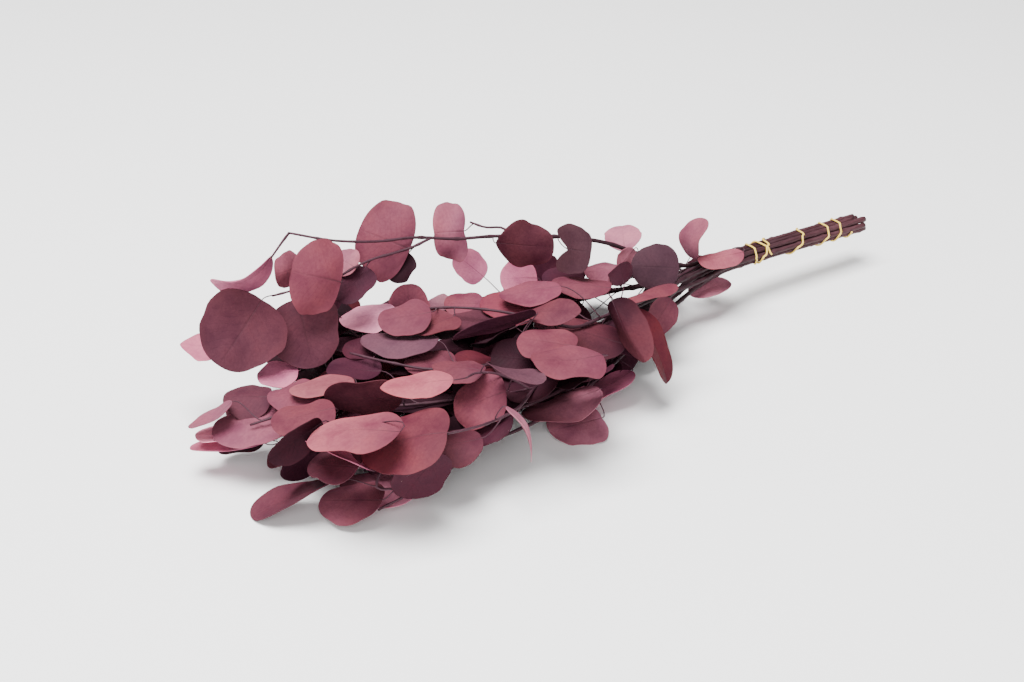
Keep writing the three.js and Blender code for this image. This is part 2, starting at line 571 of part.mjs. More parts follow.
// The point of a line of straight stretches that lies nearest to a point
function nearestOn(line, point) {
  const spots = line.slice(1).map((end, i) => {
    return new THREE.Line3(line[i], end).closestPointToPoint(point, true, new THREE.Vector3());
  });
  spots.sort((a, b) => a.distanceTo(point) - b.distanceTo(point));
  return spots[0];
}

function growWood(stem, line, from, to, sides) {
  const radii = taper(line.length, from, to);
  blockRod(stem, "wood", line, radii);
  pieces[stem].push(rod(line, radii, sides));
  wood[stem].push(line);
}

// The ways that a stalk can run from its stem to a blade, the best first
function stalkWays(stem, leaf) {
  const along = leaf.tip.clone().sub(leaf.base).normalize();
  const starts = [];
  for (const line of wood[stem]) {
    for (let i = 0; i < line.length - 1; i++) {
      const forward = line[i + 1].clone().sub(line[i]).normalize();
      for (const share of STALK_ROOTS) {
        const root = line[i].clone().lerp(line[i + 1], share);
        const reach = leaf.base.clone().sub(root);
        const bend = Math.abs(reach.angleTo(forward) - STALK_ANGLE) + reach.angleTo(along);
        const cost = reach.length() * (1 + STALK_BEND_COST * bend);
        starts.push({ root, forward, reach: reach.length(), cost });
      }
    }
  }
  starts.sort((a, b) => a.cost - b.cost);
  const best = starts.slice(0, STALK_STARTS);
  return best.flatMap((start) => STALK_BOWS.map((bow) => stalkWay(leaf, along, start, bow)));
}

function stalkWay(leaf, along, { root, forward, reach }, bow) {
  const lift = new THREE.Vector3(...bow).multiplyScalar(reach);
  const leave = root.clone().addScaledVector(forward, STALK_EASE * reach).add(lift);
  const arrive = leaf.base.clone().addScaledVector(along, -STALK_EASE * reach).add(lift);
  leave.z = Math.max(leave.z, STALK_LIFT);
  arrive.z = Math.max(arrive.z, STALK_LIFT);
  return new THREE.CubicBezierCurve3(root, leave, arrive, leaf.base).getPoints(STALK_PIECES);
}

// The first try at a leaf that meets nothing. Where ownLeaves is false, it may meet the
// blades and stalks of its own stem.
function settle(stem, tries, ownLeaves) {
  const bladeMeets = (other) => other.stem !== stem || ownLeaves;
  const stalkMeets = (other) => other.stem !== stem || (ownLeaves && other.kind === "blade");
  for (const leaf of tries) {
    const guard = sheetSolid(bladeRows(leaf, BLADE_THICKNESS + 2 * GAP, GAP));
    if (meets(guard, bladeMeets)) {
      continue;
    }
    for (const way of stalkWays(stem, leaf)) {
      const radii = taper(way.length, STALK_GUARD, STALK_GUARD);
      if (!meets(rod(way, radii, STEM_SIDES), stalkMeets)) {
        return { leaf, way };
      }
    }
  }
  return null;
}

function growLeaf(stem, { leaf, way }) {
  const blade = bladeRows(leaf, BLADE_THICKNESS);
  block(stem, "blade", sheetSolid(blade));
  blockRod(stem, "stalk", way, taper(way.length, STALK_RADIUS, STALK_RADIUS));
  pieces[stem].push(sheetSolid([...stalkRows(leaf, way), ...blade]));
}

// A shown leaf's row as a leaf that faces the viewer, moved away by a distance
function shownLeaf(row, distance) {
  const base = pushed(sighted(row.base), distance);
  const tip = pushed(sighted(row.tip), distance);
  const facing = VIEW.eye.clone().sub(base).sub(tip.clone().sub(base).multiplyScalar(0.5));
  return { ...row, base, tip, facing };
}

// Tries at a shown leaf: in its place, then step by step behind and before it
function shownTries(row) {
  const tries = Array.from({ length: SHIFT_TRIES }, (_, i) => {
    return shownLeaf(row, (i % 2 ? 1 : -1) * Math.ceil(i / 2) * SHIFT_STEP);
  });
  return tries.filter((leaf) => Math.min(leaf.base.z, leaf.tip.z) > LOWEST);
}

// A seeded generator of numbers from 0 to 1
function generator(seed) {
  let state = seed;
  return () => {
    state = (Math.imul(state, 1664525) + 1013904223) >>> 0;
    return state / 2 ** 32;
  };
}

function between([low, high], draw) {
  return low + (high - low) * draw();
}

// One try at a filler: a leaf that leans away from its stem at a station of the line
function fillerTry(root, frame, turn, draw) {
  const angle = turn + between(FILLER_SWING, draw);
  const lean = THREE.MathUtils.degToRad(between(FILLER_LEAN, draw));
  const width = between(FILLER_WIDTH, draw);
  const outward = frame.side.clone().multiplyScalar(Math.cos(angle));
  outward.addScaledVector(frame.lift, Math.sin(angle));
  const along = frame.tangent.clone().multiplyScalar(Math.cos(lean));
  along.addScaledVector(outward, Math.sin(lean));
  const base = root.clone().addScaledVector(along, between(FILLER_STALK, draw));
  const tip = base.clone().addScaledVector(along, width * between(FILLER_LENGTH, draw));
  const facing = new THREE.Vector3(between(FILLER_TILT, draw), between(FILLER_TILT, draw), 1);
  const roll = between(FILLER_ROLL, draw);
  const cup = between(FILLER_CUP, draw);
  const arch = between(FILLER_ARCH, draw);
  return { base, tip, facing, width, roll, cup, arch, hidden: true };
}

// The two sides of a blade's outline, base to tip and back, as the viewer sees them
function outlineOf(leaf, count) {
  const { point } = bladeSurface(leaf);
  const shares = Array.from({ length: count }, (_, i) => (1 - Math.cos((Math.PI * i) / count)) / 2);
  const there = shares.map((s) => seen(point(s, -1)));
  const back = shares.map((s) => seen(point(1 - s, 1)));
  return [...there, ...back];
}

function inside([u, v], outline) {
  let odd = false;
  for (let i = 0; i < outline.length; i++) {
    const [fromU, fromV] = outline[i];
    const [toU, toV] = outline[(i + 1) % outline.length];
    const spans = fromV > v !== toV > v;
    if (spans && u < ((toU - fromU) * (v - fromV)) / (toV - fromV) + fromU) {
      odd = !odd;
    }
  }
  return odd;
}

// True if the shown leaves cover most of a leaf and it covers none of them
function tucked(leaf, screens) {
  let covered = 0;
  const marks = outlineOf(leaf, FILLER_OUTLINE_STEPS);
  for (const mark of marks) {
    const over = screens.filter((screen) => inside(mark, screen.outline));
    if (over.some((screen) => mark[2] < screen.depth)) {
      return false;
    }
    covered += over.length > 0 ? 1 : 0;
  }
  return covered >= HIDDEN_SHARE * marks.length;
}

function growFillers(stem, screens) {
  const line = smoothLine(wood[stem][0], FILLER_STEP);
  const frames = carriedFrames(line);
  const [first, last] = STEMS[stem].leafy.map((share) => Math.round(share * (line.length - 1)));
  for (let i = first; i <= last; i++) {
    for (const pair of [0, 1]) {
      const draw = generator(SEED + 1000 * stem + 10 * i + pair);
      const turn = (Math.PI / 2) * i + Math.PI * pair;
      const tries = Array.from({ length: FILLER_TRIES }, () => fillerTry(line[i], frames[i], turn, draw));
      const clear = tries.filter((leaf) => Math.min(leaf.base.z, leaf.tip.z) > FILLER_LOWEST);
      const fitting = clear.filter((leaf) => tucked(leaf, screens));
      const found = settle(stem, fitting, true);
      if (found) {
        growLeaf(stem, found);
      }
    }
  }
}

// Centres and radii of the stems where they pass a plane across the bundle
function crossings(origin, tangent) {
  const found = [];
  for (const [line] of Object.values(wood)) {
    const radii = taper(line.length, STEM_RADIUS, STEM_TIP_RADIUS);
    const sides = line.map((point) => point.clone().sub(origin).dot(tangent));
    const i = sides.findIndex((side, k) => side <= 0 && sides[k + 1] > 0);
    if (i >= 0) {
      const share = sides[i] / (sides[i] - sides[i + 1]);
      found.push({ centre: line[i].clone().lerp(line[i + 1], share), radius: radii[i] });
    }
  }
  return found;
}

// One turn of the tie round the bundle, between two stations of the axis
function tieTurn(axis, from, to) {
  const tangent = axis.at(-1).clone().sub(axis[0]).normalize();
  const side = new THREE.Vector3(0, 0, 1).cross(tangent).normalize();
  const lift = tangent.clone().cross(side);
  const geometry = new THREE.BoxGeometry(1, 1, 1, 1, 1, TIE_STEPS);
  const place = geometry.attributes.position;
  for (let i = 0; i < place.count; i++) {
    const share = place.getZ(i) + 0.5;
    const angle = 2 * Math.PI * share;
    const outward = side.clone().multiplyScalar(Math.cos(angle));
    outward.addScaledVector(lift, Math.sin(angle));
    const station = from + (to - from) * share;
    const origin = axis[Math.floor(station)].clone().lerp(axis[Math.ceil(station)], station % 1);
    const reach = ({ centre, radius }) => centre.clone().sub(origin).dot(outward) + radius;
    const widest = crossings(origin, tangent).sort((a, b) => reach(b) - reach(a))[0];
    const height = TIE_GAP + (place.getY(i) + 0.5) * TIE_THICKNESS;
    const spot = widest.centre.clone().addScaledVector(outward, widest.radius + height);
    spot.addScaledVector(tangent, place.getX(i) * TIE_WIDTH);
    place.setXYZ(i, spot.x, spot.y, spot.z);
  }
  return solidOf(place.array, geometry.index.array);
}

function tieTurns() {
  const axis = smoothLine(BUNDLE_AXIS.map(sighted), TIE_PITCH);
  const stations = TIE_MARKS.map((u) => axis.findIndex((point) => seen(point)[0] <= u));
  return stations.slice(1).map((station, i) => tieTurn(axis, stations[i], station));
}

// One body from pieces that grow together, without the scraps and hollows that this leaves
function fused(grown) {
  const bodies = wasm.Manifold.union(grown).decompose();
  bodies.sort((a, b) => b.volume() - a.volume());
  return bodies[0].simplify(FINEST);
}

function meshOf(name, body, colour, roughness) {
  const { vertProperties, triVerts } = body.getMesh();
  const geometry = new THREE.BufferGeometry();
  geometry.setAttribute("position", new THREE.BufferAttribute(vertProperties, 3));
  geometry.setIndex(new THREE.BufferAttribute(triVerts, 1));
  geometry.computeVertexNormals();
  const material = new THREE.MeshStandardMaterial({ color: colour, roughness, metalness: 0 });
  const mesh = new THREE.Mesh(geometry, material);
  mesh.name = name;
  return mesh;
}

const stemNumbers = Object.keys(STEMS).map(Number);

for (const stem of stemNumbers) {
  pieces[stem] = [];
  wood[stem] = [];
  growWood(stem, stemLine(STEMS[stem]), STEM_RADIUS, STEM_TIP_RADIUS, STEM_SIDES);
}

for (const { stem, route } of TWIGS) {
  const [start, ...rest] = route.map(sighted);
  const line = smoothLine([nearestOn(wood[stem][0], start), ...rest], TWIG_STEP);
  growWood(stem, line, TWIG_RADIUS, STALK_RADIUS, TWIG_SIDES);
}

const screens = [];
for (const row of LEAVES) {
  const tries = shownTries(row);
  const found = settle(row.stem, tries, true) ?? settle(row.stem, tries, false);
  growLeaf(row.stem, found);
  const outline = outlineOf(found.leaf, OUTLINE_STEPS);
  const depth = outline.reduce((sum, mark) => sum + mark[2], 0) / outline.length;
  screens.push({ outline, depth });
}

for (const stem of FILLER_STEMS) {
  growFillers(stem, screens);
}

const group = new THREE.Group();
for (const stem of stemNumbers) {
  const name = `leafy_stem_${String(stem).padStart(2, "0")}`;
  group.add(meshOf(name, fused(pieces[stem]), STEMS[stem].colour, LEAF_ROUGHNESS));
}
group.add(meshOf("elastic_tie", fused(tieTurns()), TIE_COLOUR, TIE_ROUGHNESS));

export default group;
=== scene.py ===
"""A bunch of dyed, preserved eucalyptus that lies on a pale table in soft studio light.

Places on the bunch are sight marks, (u, v, height): u right and v down in the picture that
the camera takes, and the height above the table in millimetres. Sizes are millimetres too.
"""

import math
import random

import bmesh
import bpy
from mathutils import Matrix, Vector
from mathutils.bvhtree import BVHTree
from mathutils.kdtree import KDTree


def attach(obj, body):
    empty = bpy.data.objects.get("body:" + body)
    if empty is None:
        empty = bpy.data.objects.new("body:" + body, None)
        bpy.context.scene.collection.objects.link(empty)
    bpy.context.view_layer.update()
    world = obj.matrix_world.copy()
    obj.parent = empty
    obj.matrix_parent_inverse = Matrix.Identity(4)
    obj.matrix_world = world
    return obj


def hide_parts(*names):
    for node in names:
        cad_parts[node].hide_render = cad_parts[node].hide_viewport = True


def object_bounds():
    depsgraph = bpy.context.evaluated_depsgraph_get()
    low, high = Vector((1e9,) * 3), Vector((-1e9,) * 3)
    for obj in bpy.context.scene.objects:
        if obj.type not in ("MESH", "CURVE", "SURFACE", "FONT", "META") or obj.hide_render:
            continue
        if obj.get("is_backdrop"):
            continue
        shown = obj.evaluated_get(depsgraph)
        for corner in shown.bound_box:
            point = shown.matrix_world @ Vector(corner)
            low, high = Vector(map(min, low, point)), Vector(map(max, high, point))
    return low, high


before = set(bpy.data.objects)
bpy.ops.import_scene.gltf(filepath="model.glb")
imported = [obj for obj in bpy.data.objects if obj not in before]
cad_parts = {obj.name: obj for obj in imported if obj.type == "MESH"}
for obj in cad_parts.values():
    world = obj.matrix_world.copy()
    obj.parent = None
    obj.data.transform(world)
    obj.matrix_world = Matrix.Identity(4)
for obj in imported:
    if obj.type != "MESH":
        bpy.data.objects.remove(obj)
cad_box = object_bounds()

MM = 0.001
LOWEST, HIGHEST = (Vector(corner) / MM for corner in cad_box)

# The camera
FRAME_WIDTH = 1024
FRAME_HEIGHT = 682
LENS = 60
FILM_WIDTH = 36
AZIMUTH = math.radians(-39)
ELEVATION = math.radians(28)
VIEW_DISTANCE = 1440
VIEW_TARGET = Vector((-90, -9, 60))

# The solids' blades and wood, which the fine pieces follow
BLADE_THICKNESS = 0.7
BLADE_ROWS = ((56, 7), (44, 6), (0, 5))  # rows of triangles, by a blade's least width
HIDDEN_ROWS = 4
EGG = 0.25  # how much wider a blade is towards its base
BLUNT = 2.3
RIPPLE = 0.04  # share of the width by which a margin ripples
RIPPLE_ALONG = 9
RIPPLE_ACROSS = 4
SLOPE_STEP = 0.01  # step over which a blade's slope is measured
BLADE_END = 1e-6  # nearer than this to its base or tip, a blade has no slope of its own
STEM_RADIUS = 2.6
STEM_TIP_RADIUS = 0.9
STEM_STEP = 38
TWIG_RADIUS = 1.1
TWIG_STEP = 18
STALK_RADIUS = 0.8
STALK_ROOTS = (0, 1 / 3, 2 / 3)  # where a stalk may start, along a straight stretch of wood
STALK_EASE = 0.3
STALK_BOWS = ((0, 0, 0), (0, 0, 0.25), (0, 0, -0.25), (0, 0.25, 0), (0, -0.25, 0))
STALK_LIFT = 2
ARC_PIECES = 200  # straight pieces by which a smooth line's length is measured

# The tied part of the bunch
BUNDLE_AXIS = ((862, 221, 42), (825, 232, 43), (790, 242, 44), (757, 252, 45), (725, 262, 46))
SPREAD = (692, 276, 48)
SPREAD_FACTOR = 1.5
SLOT_PITCH = 5.6
SLOT_ROW_RISE = 4.9

# Each stem: its slot in the tied part, its trim, the share with leaves, and its route
STEMS = {
    1: {
        "slot": (1, 1), "trim": 8, "leafy": (0.45, 1),
        "route": ((655, 258, 78), (625, 250, 96), (597, 240, 110), (560, 237, 120), (500, 236, 130),
                  (466, 238, 135), (432, 240, 140), (409, 237, 144), (360, 243, 150), (330, 240, 155),
                  (289, 233, 160)),
    },
    2: {
        "slot": (1.5, 0), "trim": 0, "leafy": (0.3, 0.9),
        "route": ((650, 285, 56), (610, 290, 62), (560, 296, 66), (500, 306, 68), (440, 316, 68),
                  (380, 330, 64), (320, 350, 58), (270, 366, 54)),
    },
    3: {
        "slot": (-1, 1), "trim": 3, "leafy": (0.35, 1),
        "route": ((650, 297, 64), (600, 318, 74), (560, 328, 80), (527, 316, 86), (480, 309, 90),
                  (430, 308, 92), (395, 313, 92)),
    },
    4: {
        "slot": (-0.5, 0), "trim": 12, "leafy": (0.35, 0.95),
        "route": ((650, 311, 51), (600, 345, 58), (553, 377, 66), (532, 390, 70), (522, 405, 70),
                  (500, 417, 72), (470, 430, 76), (446, 434, 80)),
    },
    5: {
        "slot": (-1, -1), "trim": 2, "leafy": (0.3, 0.95),
        "route": ((640, 338, 32), (590, 385, 30), (540, 420, 28), (480, 446, 28), (446, 472, 26),
                  (410, 494, 24), (378, 510, 10)),
    },
    6: {
        "slot": (-1.5, 0), "trim": 6, "leafy": (0.3, 0.95),
        "route": ((640, 305, 62), (580, 338, 67), (520, 358, 70), (460, 368, 72), (410, 368, 74),
                  (375, 358, 76), (350, 353, 74)),
    },
    7: {
        "slot": (0.5, 0), "trim": 10, "leafy": (0.35, 0.95),
        "route": ((640, 318, 46), (580, 356, 52), (520, 382, 54), (450, 400, 56), (390, 406, 58),
                  (330, 405, 60), (290, 412, 58), (250, 425, 50)),
    },
    8: {
        "slot": (0, -1), "trim": 5, "leafy": (0.35, 0.95),
        "route": ((640, 327, 38), (590, 372, 38), (540, 400, 40), (480, 420, 44), (430, 434, 46),
                  (380, 446, 48), (330, 452, 44), (290, 460, 36)),
    },
    9: {
        "slot": (0, 1), "trim": 14, "leafy": (0.5, 1),
        "route": ((662, 288, 68), (640, 300, 74), (625, 314, 70)),
    },
    10: {
        "slot": (1, -1), "trim": 7, "leafy": (0.3, 0.95),
        "route": ((640, 285, 40), (580, 300, 40), (520, 315, 40), (450, 332, 40), (380, 348, 36),
                  (310, 366, 30)),
    },
}

# Side twigs that fork from a main stem
TWIGS = (
    (1, ((432, 240, 140), (410, 248, 136), (365, 262, 132), (330, 281, 124), (295, 290, 120),
         (272, 296, 117))),
    (1, ((512, 236, 128), (500, 227, 131), (483, 227, 132), (470, 222, 134))),
    (1, ((289, 233, 160), (280, 245, 157), (271, 258, 150))),
    (4, ((532, 390, 70), (505, 376, 82), (482, 372, 88), (466, 378, 94))),
    (4, ((553, 377, 66), (562, 380, 62), (598, 366, 62))),
    (5, ((412, 493, 24), (404, 489, 31), (374, 486, 40), (381, 471, 47), (402, 481, 43))),
)


def leaf(name, stem, base, tip, width, tint, **shape):
    """A row of the table of leaves below."""
    return {"name": name, "stem": stem, "base": base, "tip": tip, "width": width, "tint": tint, **shape}


# Leaves that show from the camera. roll turns a blade from facing it, and twist its tip
# further. arch lifts its middle and cup its margins, bend moves its middle sideways, and
# crease folds it along its rib. lobe draws its base's shoulders back past the stalk, and
# notch does so at its tip. blunt is how full its outline is, and end its tint at the tip.
# The last two rest on the table behind the bunch and don't show.
LEAVES = (
    leaf("spray_round", 1, (262, 300, 116), (219, 366, 70), 71, "damson", arch=-3, cup=4, lobe=0.05),
    leaf("spray_oval", 1, (341, 282, 126), (291, 271, 140), 68, "rosewood", arch=4, cup=-3, blunt=2.4),
    leaf("spray_tilted", 1, (410, 249, 136), (359, 229, 150), 71, "rosewood", arch=3, cup=-4, blunt=2.5),
    leaf("spray_kidney", 1, (464, 231, 128), (434, 233, 128), 54, "dusty", lobe=0.3, notch=0.12,
         cup=-6, blunt=2.4),
    leaf("spray_heart", 1, (496, 243, 128), (554, 247, 126), 46, "damson", roll=-30, lobe=-0.2, cup=-3,
         blunt=2.7),
    leaf("spray_bent", 1, (568, 249, 112), (591, 252, 117), 46, "smoke", lobe=1.2, cup=2),
    leaf("spray_curl", 1, (270, 257, 148), (213, 284, 122), 34, "blush", roll=62, twist=-45, arch=10,
         cup=2, crease=2),
    leaf("spray_small", 1, (302, 266, 126), (275, 275, 128), 32, "dusty", roll=20, cup=-4),
    leaf("spray_peep", 1, (356, 268, 130), (336, 256, 132), 26, "petal", cup=2),
    leaf("spray_half", 1, (366, 267, 130), (341, 303, 112), 34, "wine", roll=-30, cup=2),
    # spray_back takes the shade tint: painted shade on a leaf deep behind others
    leaf("spray_back", 1, (409, 253, 134), (391, 281, 112), 30, "shade", roll=-30, cup=2),
    leaf("spray_low", 1, (298, 299, 105), (313, 368, 58), 61, "damson", arch=3, cup=3),
    leaf("neck_crescent", 1, (690, 257, 66), (706, 219, 100), 34, "dusty", roll=50, arch=7, cup=2),
    leaf("neck_folded", 1, (743, 252, 62), (699, 262, 66), 22, "salmon", roll=-35, cup=-2, crease=-3),
    leaf("behind_round", 2, (222, 348, 66), (180, 344, 66), 32, "blush", roll=-30, notch=-0.4, cup=2),
    leaf("under_round", 2, (298, 371, 60), (257, 376, 58), 42, "blush", roll=-58, cup=2),
    leaf("upright_pale", 2, (625, 252, 98), (622, 226, 96), 36, "petal", lobe=-0.3, notch=0.1, cup=2),
    leaf("upright_small", 2, (634, 249, 95), (619, 268, 80), 18, "petal", roll=30, cup=2),
    leaf("hanging_pale", 2, (484, 277, 80), (455, 254, 95), 30, "blush", roll=10, cup=2),
    leaf("hanging_pink", 2, (537, 278, 82), (500, 279, 84), 36, "blush", roll=-15, cup=2),
    leaf("ridge_pink", 2, (396, 309, 82), (340, 322, 78), 44, "pink", roll=-58, cup=-2),
    leaf("ridge_dark", 2, (411, 322, 68), (407, 284, 92), 38, "rose", arch=-2, cup=-3),
    leaf("ridge_pale", 2, (449, 306, 70), (427, 303, 70), 30, "mauve", roll=-55, cup=2),
    leaf("ridge_rose", 2, (484, 303, 80), (444, 304, 80), 42, "rose", roll=-55, cup=-3),
    leaf("ridge_lying", 2, (611, 288, 92), (552, 281, 92), 40, "rosewood", roll=-62, cup=-2),
    leaf("ridge_rust", 2, (626, 269, 84), (584, 272, 84), 42, "dusty", roll=-60, cup=-2),
    leaf("ridge_wedge", 2, (585, 273, 84), (542, 279, 80), 34, "wine", roll=-60, cup=2),
    leaf("crest_oblong", 3, (431, 312, 96), (378, 322, 90), 46, "rosewood", roll=-52, cup=-2),
    leaf("crest_large", 3, (558, 303, 86), (480, 303, 83), 58, "coral", roll=-58, cup=-3),
    leaf("crest_lying", 3, (560, 286, 97), (500, 297, 94), 44, "rose", roll=-62, cup=-2),
    leaf("crest_thin", 3, (577, 292, 90), (532, 304, 86), 38, "wine", roll=-62, cup=2),
    leaf("crest_pointed", 3, (527, 312, 94), (581, 311, 106), 34, "plum", roll=50, twist=-50,
         notch=-0.2, cup=2),
    leaf("crest_rust", 3, (454, 316, 88), (416, 334, 86), 40, "plum", roll=-55, cup=2),
    leaf("hero_rose", 4, (484, 371, 92), (432, 365, 90), 38, "plum", roll=-58, notch=-0.2, cup=-2),
    leaf("hero_tongue", 4, (453, 380, 98), (380, 388, 92), 40, "salmon", roll=-60, notch=-0.1, cup=-3,
         blunt=2.1),
    leaf("hero_broad", 4, (447, 433, 84), (362, 451, 60), 64, "plum", roll=-46, arch=3, cup=-4,
         lobe=0.08, end="brick"),
    leaf("hero_round", 4, (506, 392, 86), (454, 410, 66), 50, "rosewood", roll=-30, cup=-3),
    leaf("hero_under", 4, (513, 417, 56), (464, 436, 38), 38, "wine", roll=-46, cup=-3),
    leaf("hero_mauve", 4, (482, 438, 46), (422, 452, 40), 46, "damson", roll=-52, cup=-3),
    leaf("hero_finger", 4, (488, 364, 98), (545, 381, 98), 30, "ash", roll=72, twist=-50, cup=2),
    leaf("hero_ribbon", 4, (506, 407, 86), (531, 462, 42), 17, "petal", roll=80, arch=6, cup=2),
    leaf("fork_dusky", 4, (626, 345, 60), (558, 324, 74), 52, "berry", roll=-52, cup=-4, end="plum"),
    # right_boat's petal tint is painted light: paler than its dye, as the leaf lies in shade
    leaf("right_boat", 5, (600, 389, 38), (523, 416, 30), 46, "petal", roll=-58, cup=-3, end="plum"),
    leaf("right_table", 5, (602, 418, 7.5), (549, 431, 5.5), 54, "petal", roll=-45, lobe=0.1, cup=-2),
    # right_wedge's blush tint is painted light: paler than its dye, as the leaf lies in shade
    leaf("right_wedge", 5, (632, 371, 34), (578, 404, 20), 34, "blush", roll=-60, cup=2),
    leaf("front_mauve", 5, (416, 493, 30), (341, 480, 30), 42, "pink", roll=-50, cup=-2, end="plum"),
    leaf("front_round", 5, (382, 500, 20), (320, 500, 8), 45, "plum", roll=-42, cup=-3, end="dusty"),
    leaf("front_twisted", 5, (338, 480, 34), (250, 512, 1), 42, "wine", roll=-66, twist=40, cup=3,
         bend=-3, end="plum"),
    leaf("front_wine", 5, (437, 452, 46), (404, 498, 4), 48, "wine", roll=38, cup=3),
    leaf("lobe_upper", 6, (576, 346, 96), (518, 338, 96), 48, "rosewood", roll=-55, cup=-3),
    leaf("lobe_lower", 6, (603, 356, 90), (533, 362, 97), 50, "rosewood", roll=-56, cup=-3),
    leaf("mass_rolled", 6, (536, 315, 92), (453, 339, 92), 26, "wine", roll=64, cup=4, crease=-5),
    leaf("mass_long", 6, (438, 341, 84), (361, 338, 80), 46, "ash", roll=-62, cup=-3),
    leaf("mass_small", 6, (374, 353, 72), (345, 344, 74), 30, "wine", roll=-45, cup=3),
    leaf("mass_mauve", 6, (492, 318, 78), (450, 326, 80), 36, "damson", roll=-58, cup=2),
    leaf("mass_rust", 6, (456, 362, 80), (404, 363, 80), 44, "plum", roll=-58, cup=-3),
    leaf("mass_brown", 6, (506, 370, 82), (456, 354, 86), 34, "rust", roll=-60, cup=-2),
    leaf("mass_dusky", 6, (536, 360, 70), (491, 356, 72), 44, "berry", roll=-36, cup=3),
    leaf("left_wine", 7, (402, 399, 72), (324, 397, 74), 46, "plum", roll=52, cup=1, end="wine"),
    # left_under takes the shade tint: painted shade on a leaf deep under others
    leaf("left_under", 7, (454, 400, 62), (384, 408, 62), 40, "shade", roll=-66, cup=2),
    leaf("left_grey", 7, (381, 371, 70), (327, 368, 70), 40, "wine", roll=-60, cup=2),
    leaf("left_rose", 7, (322, 390, 68), (267, 397, 64), 44, "rosewood", roll=-58, cup=-2),
    leaf("left_blush", 7, (353, 379, 72), (290, 393, 72), 34, "fawn", roll=-62, cup=-2),
    leaf("left_round", 7, (272, 396, 58), (223, 398, 56), 44, "damson", roll=-48, cup=-4, crease=-3),
    leaf("left_sickle", 7, (232, 402, 62), (188, 427, 46), 30, "dusty", roll=-74, arch=-3, cup=2),
    leaf("left_long", 7, (298, 413, 60), (212, 432, 48), 58, "dusty", roll=-54, cup=-2),
    leaf("left_coral", 7, (238, 433, 40), (195, 435, 40), 30, "pink", roll=-62, cup=2),
    leaf("left_thin", 7, (262, 442, 30), (190, 447, 24), 30, "blush", roll=-66, cup=2),
    leaf("left_salmon", 7, (335, 408, 70), (271, 424, 62), 48, "rosewood", roll=-56, cup=-2),
    leaf("left_deep", 7, (270, 409, 50), (226, 411, 48), 32, "damson", roll=-62, cup=-2),
    leaf("left_lilac", 7, (402, 412, 60), (338, 415, 58), 36, "wine", roll=-60, cup=2),
    leaf("low_sliver", 8, (264, 441, 18), (218, 450, 12), 30, "wine", roll=-62, cup=2),
    leaf("low_purple", 8, (322, 422, 62), (268, 460, 44), 30, "berry", roll=38, cup=2, crease=4),
    leaf("low_plum", 8, (302, 448, 34), (267, 462, 20), 28, "damson", roll=-45, cup=3),
    leaf("low_wine", 8, (315, 437, 60), (291, 481, 22), 40, "berry", roll=44, cup=2),
    leaf("low_maroon", 8, (358, 468, 54), (310, 462, 46), 40, "damson", roll=-42, cup=3),
    leaf("low_pale", 8, (400, 432, 84), (309, 438, 64), 54, "rosewood", roll=-58, arch=4, cup=-3,
         end="salmon"),
    leaf("low_ribbon", 8, (370, 470, 54), (306, 441, 66), 28, "blush", roll=-77, cup=2),
    leaf("fork_dark", 9, (679, 268, 80), (631, 266, 84), 42, "smoke", arch=4, cup=-4),
    leaf("fork_brown", 3, (624, 284, 80), (620, 264, 84), 24, "berry", roll=20, cup=2),
    leaf("fork_folded", 9, (612, 300, 92), (646, 362, 46), 36, "berry", roll=-38, arch=4, cup=-5,
         crease=-6, end="plum"),
    leaf("fork_droop", 9, (632, 311, 88), (667, 383, 27), 34, "rust", roll=56, arch=5, cup=-3, crease=6),
    leaf("fork_under", 9, (671, 299, 62), (649, 335, 36), 32, "plum", roll=30, cup=2),
    leaf("fork_strip", 9, (673, 284, 84), (612, 304, 94), 30, "rosewood", roll=-72, cup=-4),
    leaf("neck_dark", 10, (713, 262, 44), (689, 268, 44), 26, "berry", roll=-45, cup=2),
    leaf("neck_brown", 5, (690, 295, 34), (730, 282, 32), 24, "petal", roll=38, cup=2),
    leaf("rest_back", 10, (470, 346, 1), (420, 356, -2), 46, "berry", roll=-60),
    leaf("rest_far", 10, (580, 318, 1), (535, 326, -2), 44, "berry", roll=-60),
)
SHIFT_STEP = 3  # steps in which the solids move a leaf along the line of sight, clear of others
SHIFT_TRIES = 35

# Leaves that fill the bunch behind those
FILLER_STEMS = (2, 3, 4, 5, 6, 7, 8, 10)
FILLER_STEP = 48
FILLER_TRIES = 16
FILLER_WIDTH = (40, 58)
FILLER_STALK = (12, 26)
FILLER_LEAN = (35, 75)
FILLER_SWING = (-0.7, 0.7)
FILLER_LENGTH = (0.85, 1.1)
FILLER_TILT = (-0.5, 0.5)
FILLER_ROLL = (-35, 35)
FILLER_CUP = (-5, 4)
FILLER_ARCH = (-3, 5)
# Real dyes, the darker ones only: partly painted shade where fillers show between leaves
FILLER_TINTS = ("wine", "berry", "damson", "wine", "berry", "wine", "rust")
TINT_CHANGES = 7  # tints that a filler goes through for each millimetre of width
SEED = 20
STEM_SEEDS = 1000  # from one stem's seeds to the next stem's
STATION_SEEDS = 10
HELD = 0.05  # a corner this near to one of the solid's is the same corner
HELD_SHARE = 0.5  # least share of a filler's corners that its solid holds
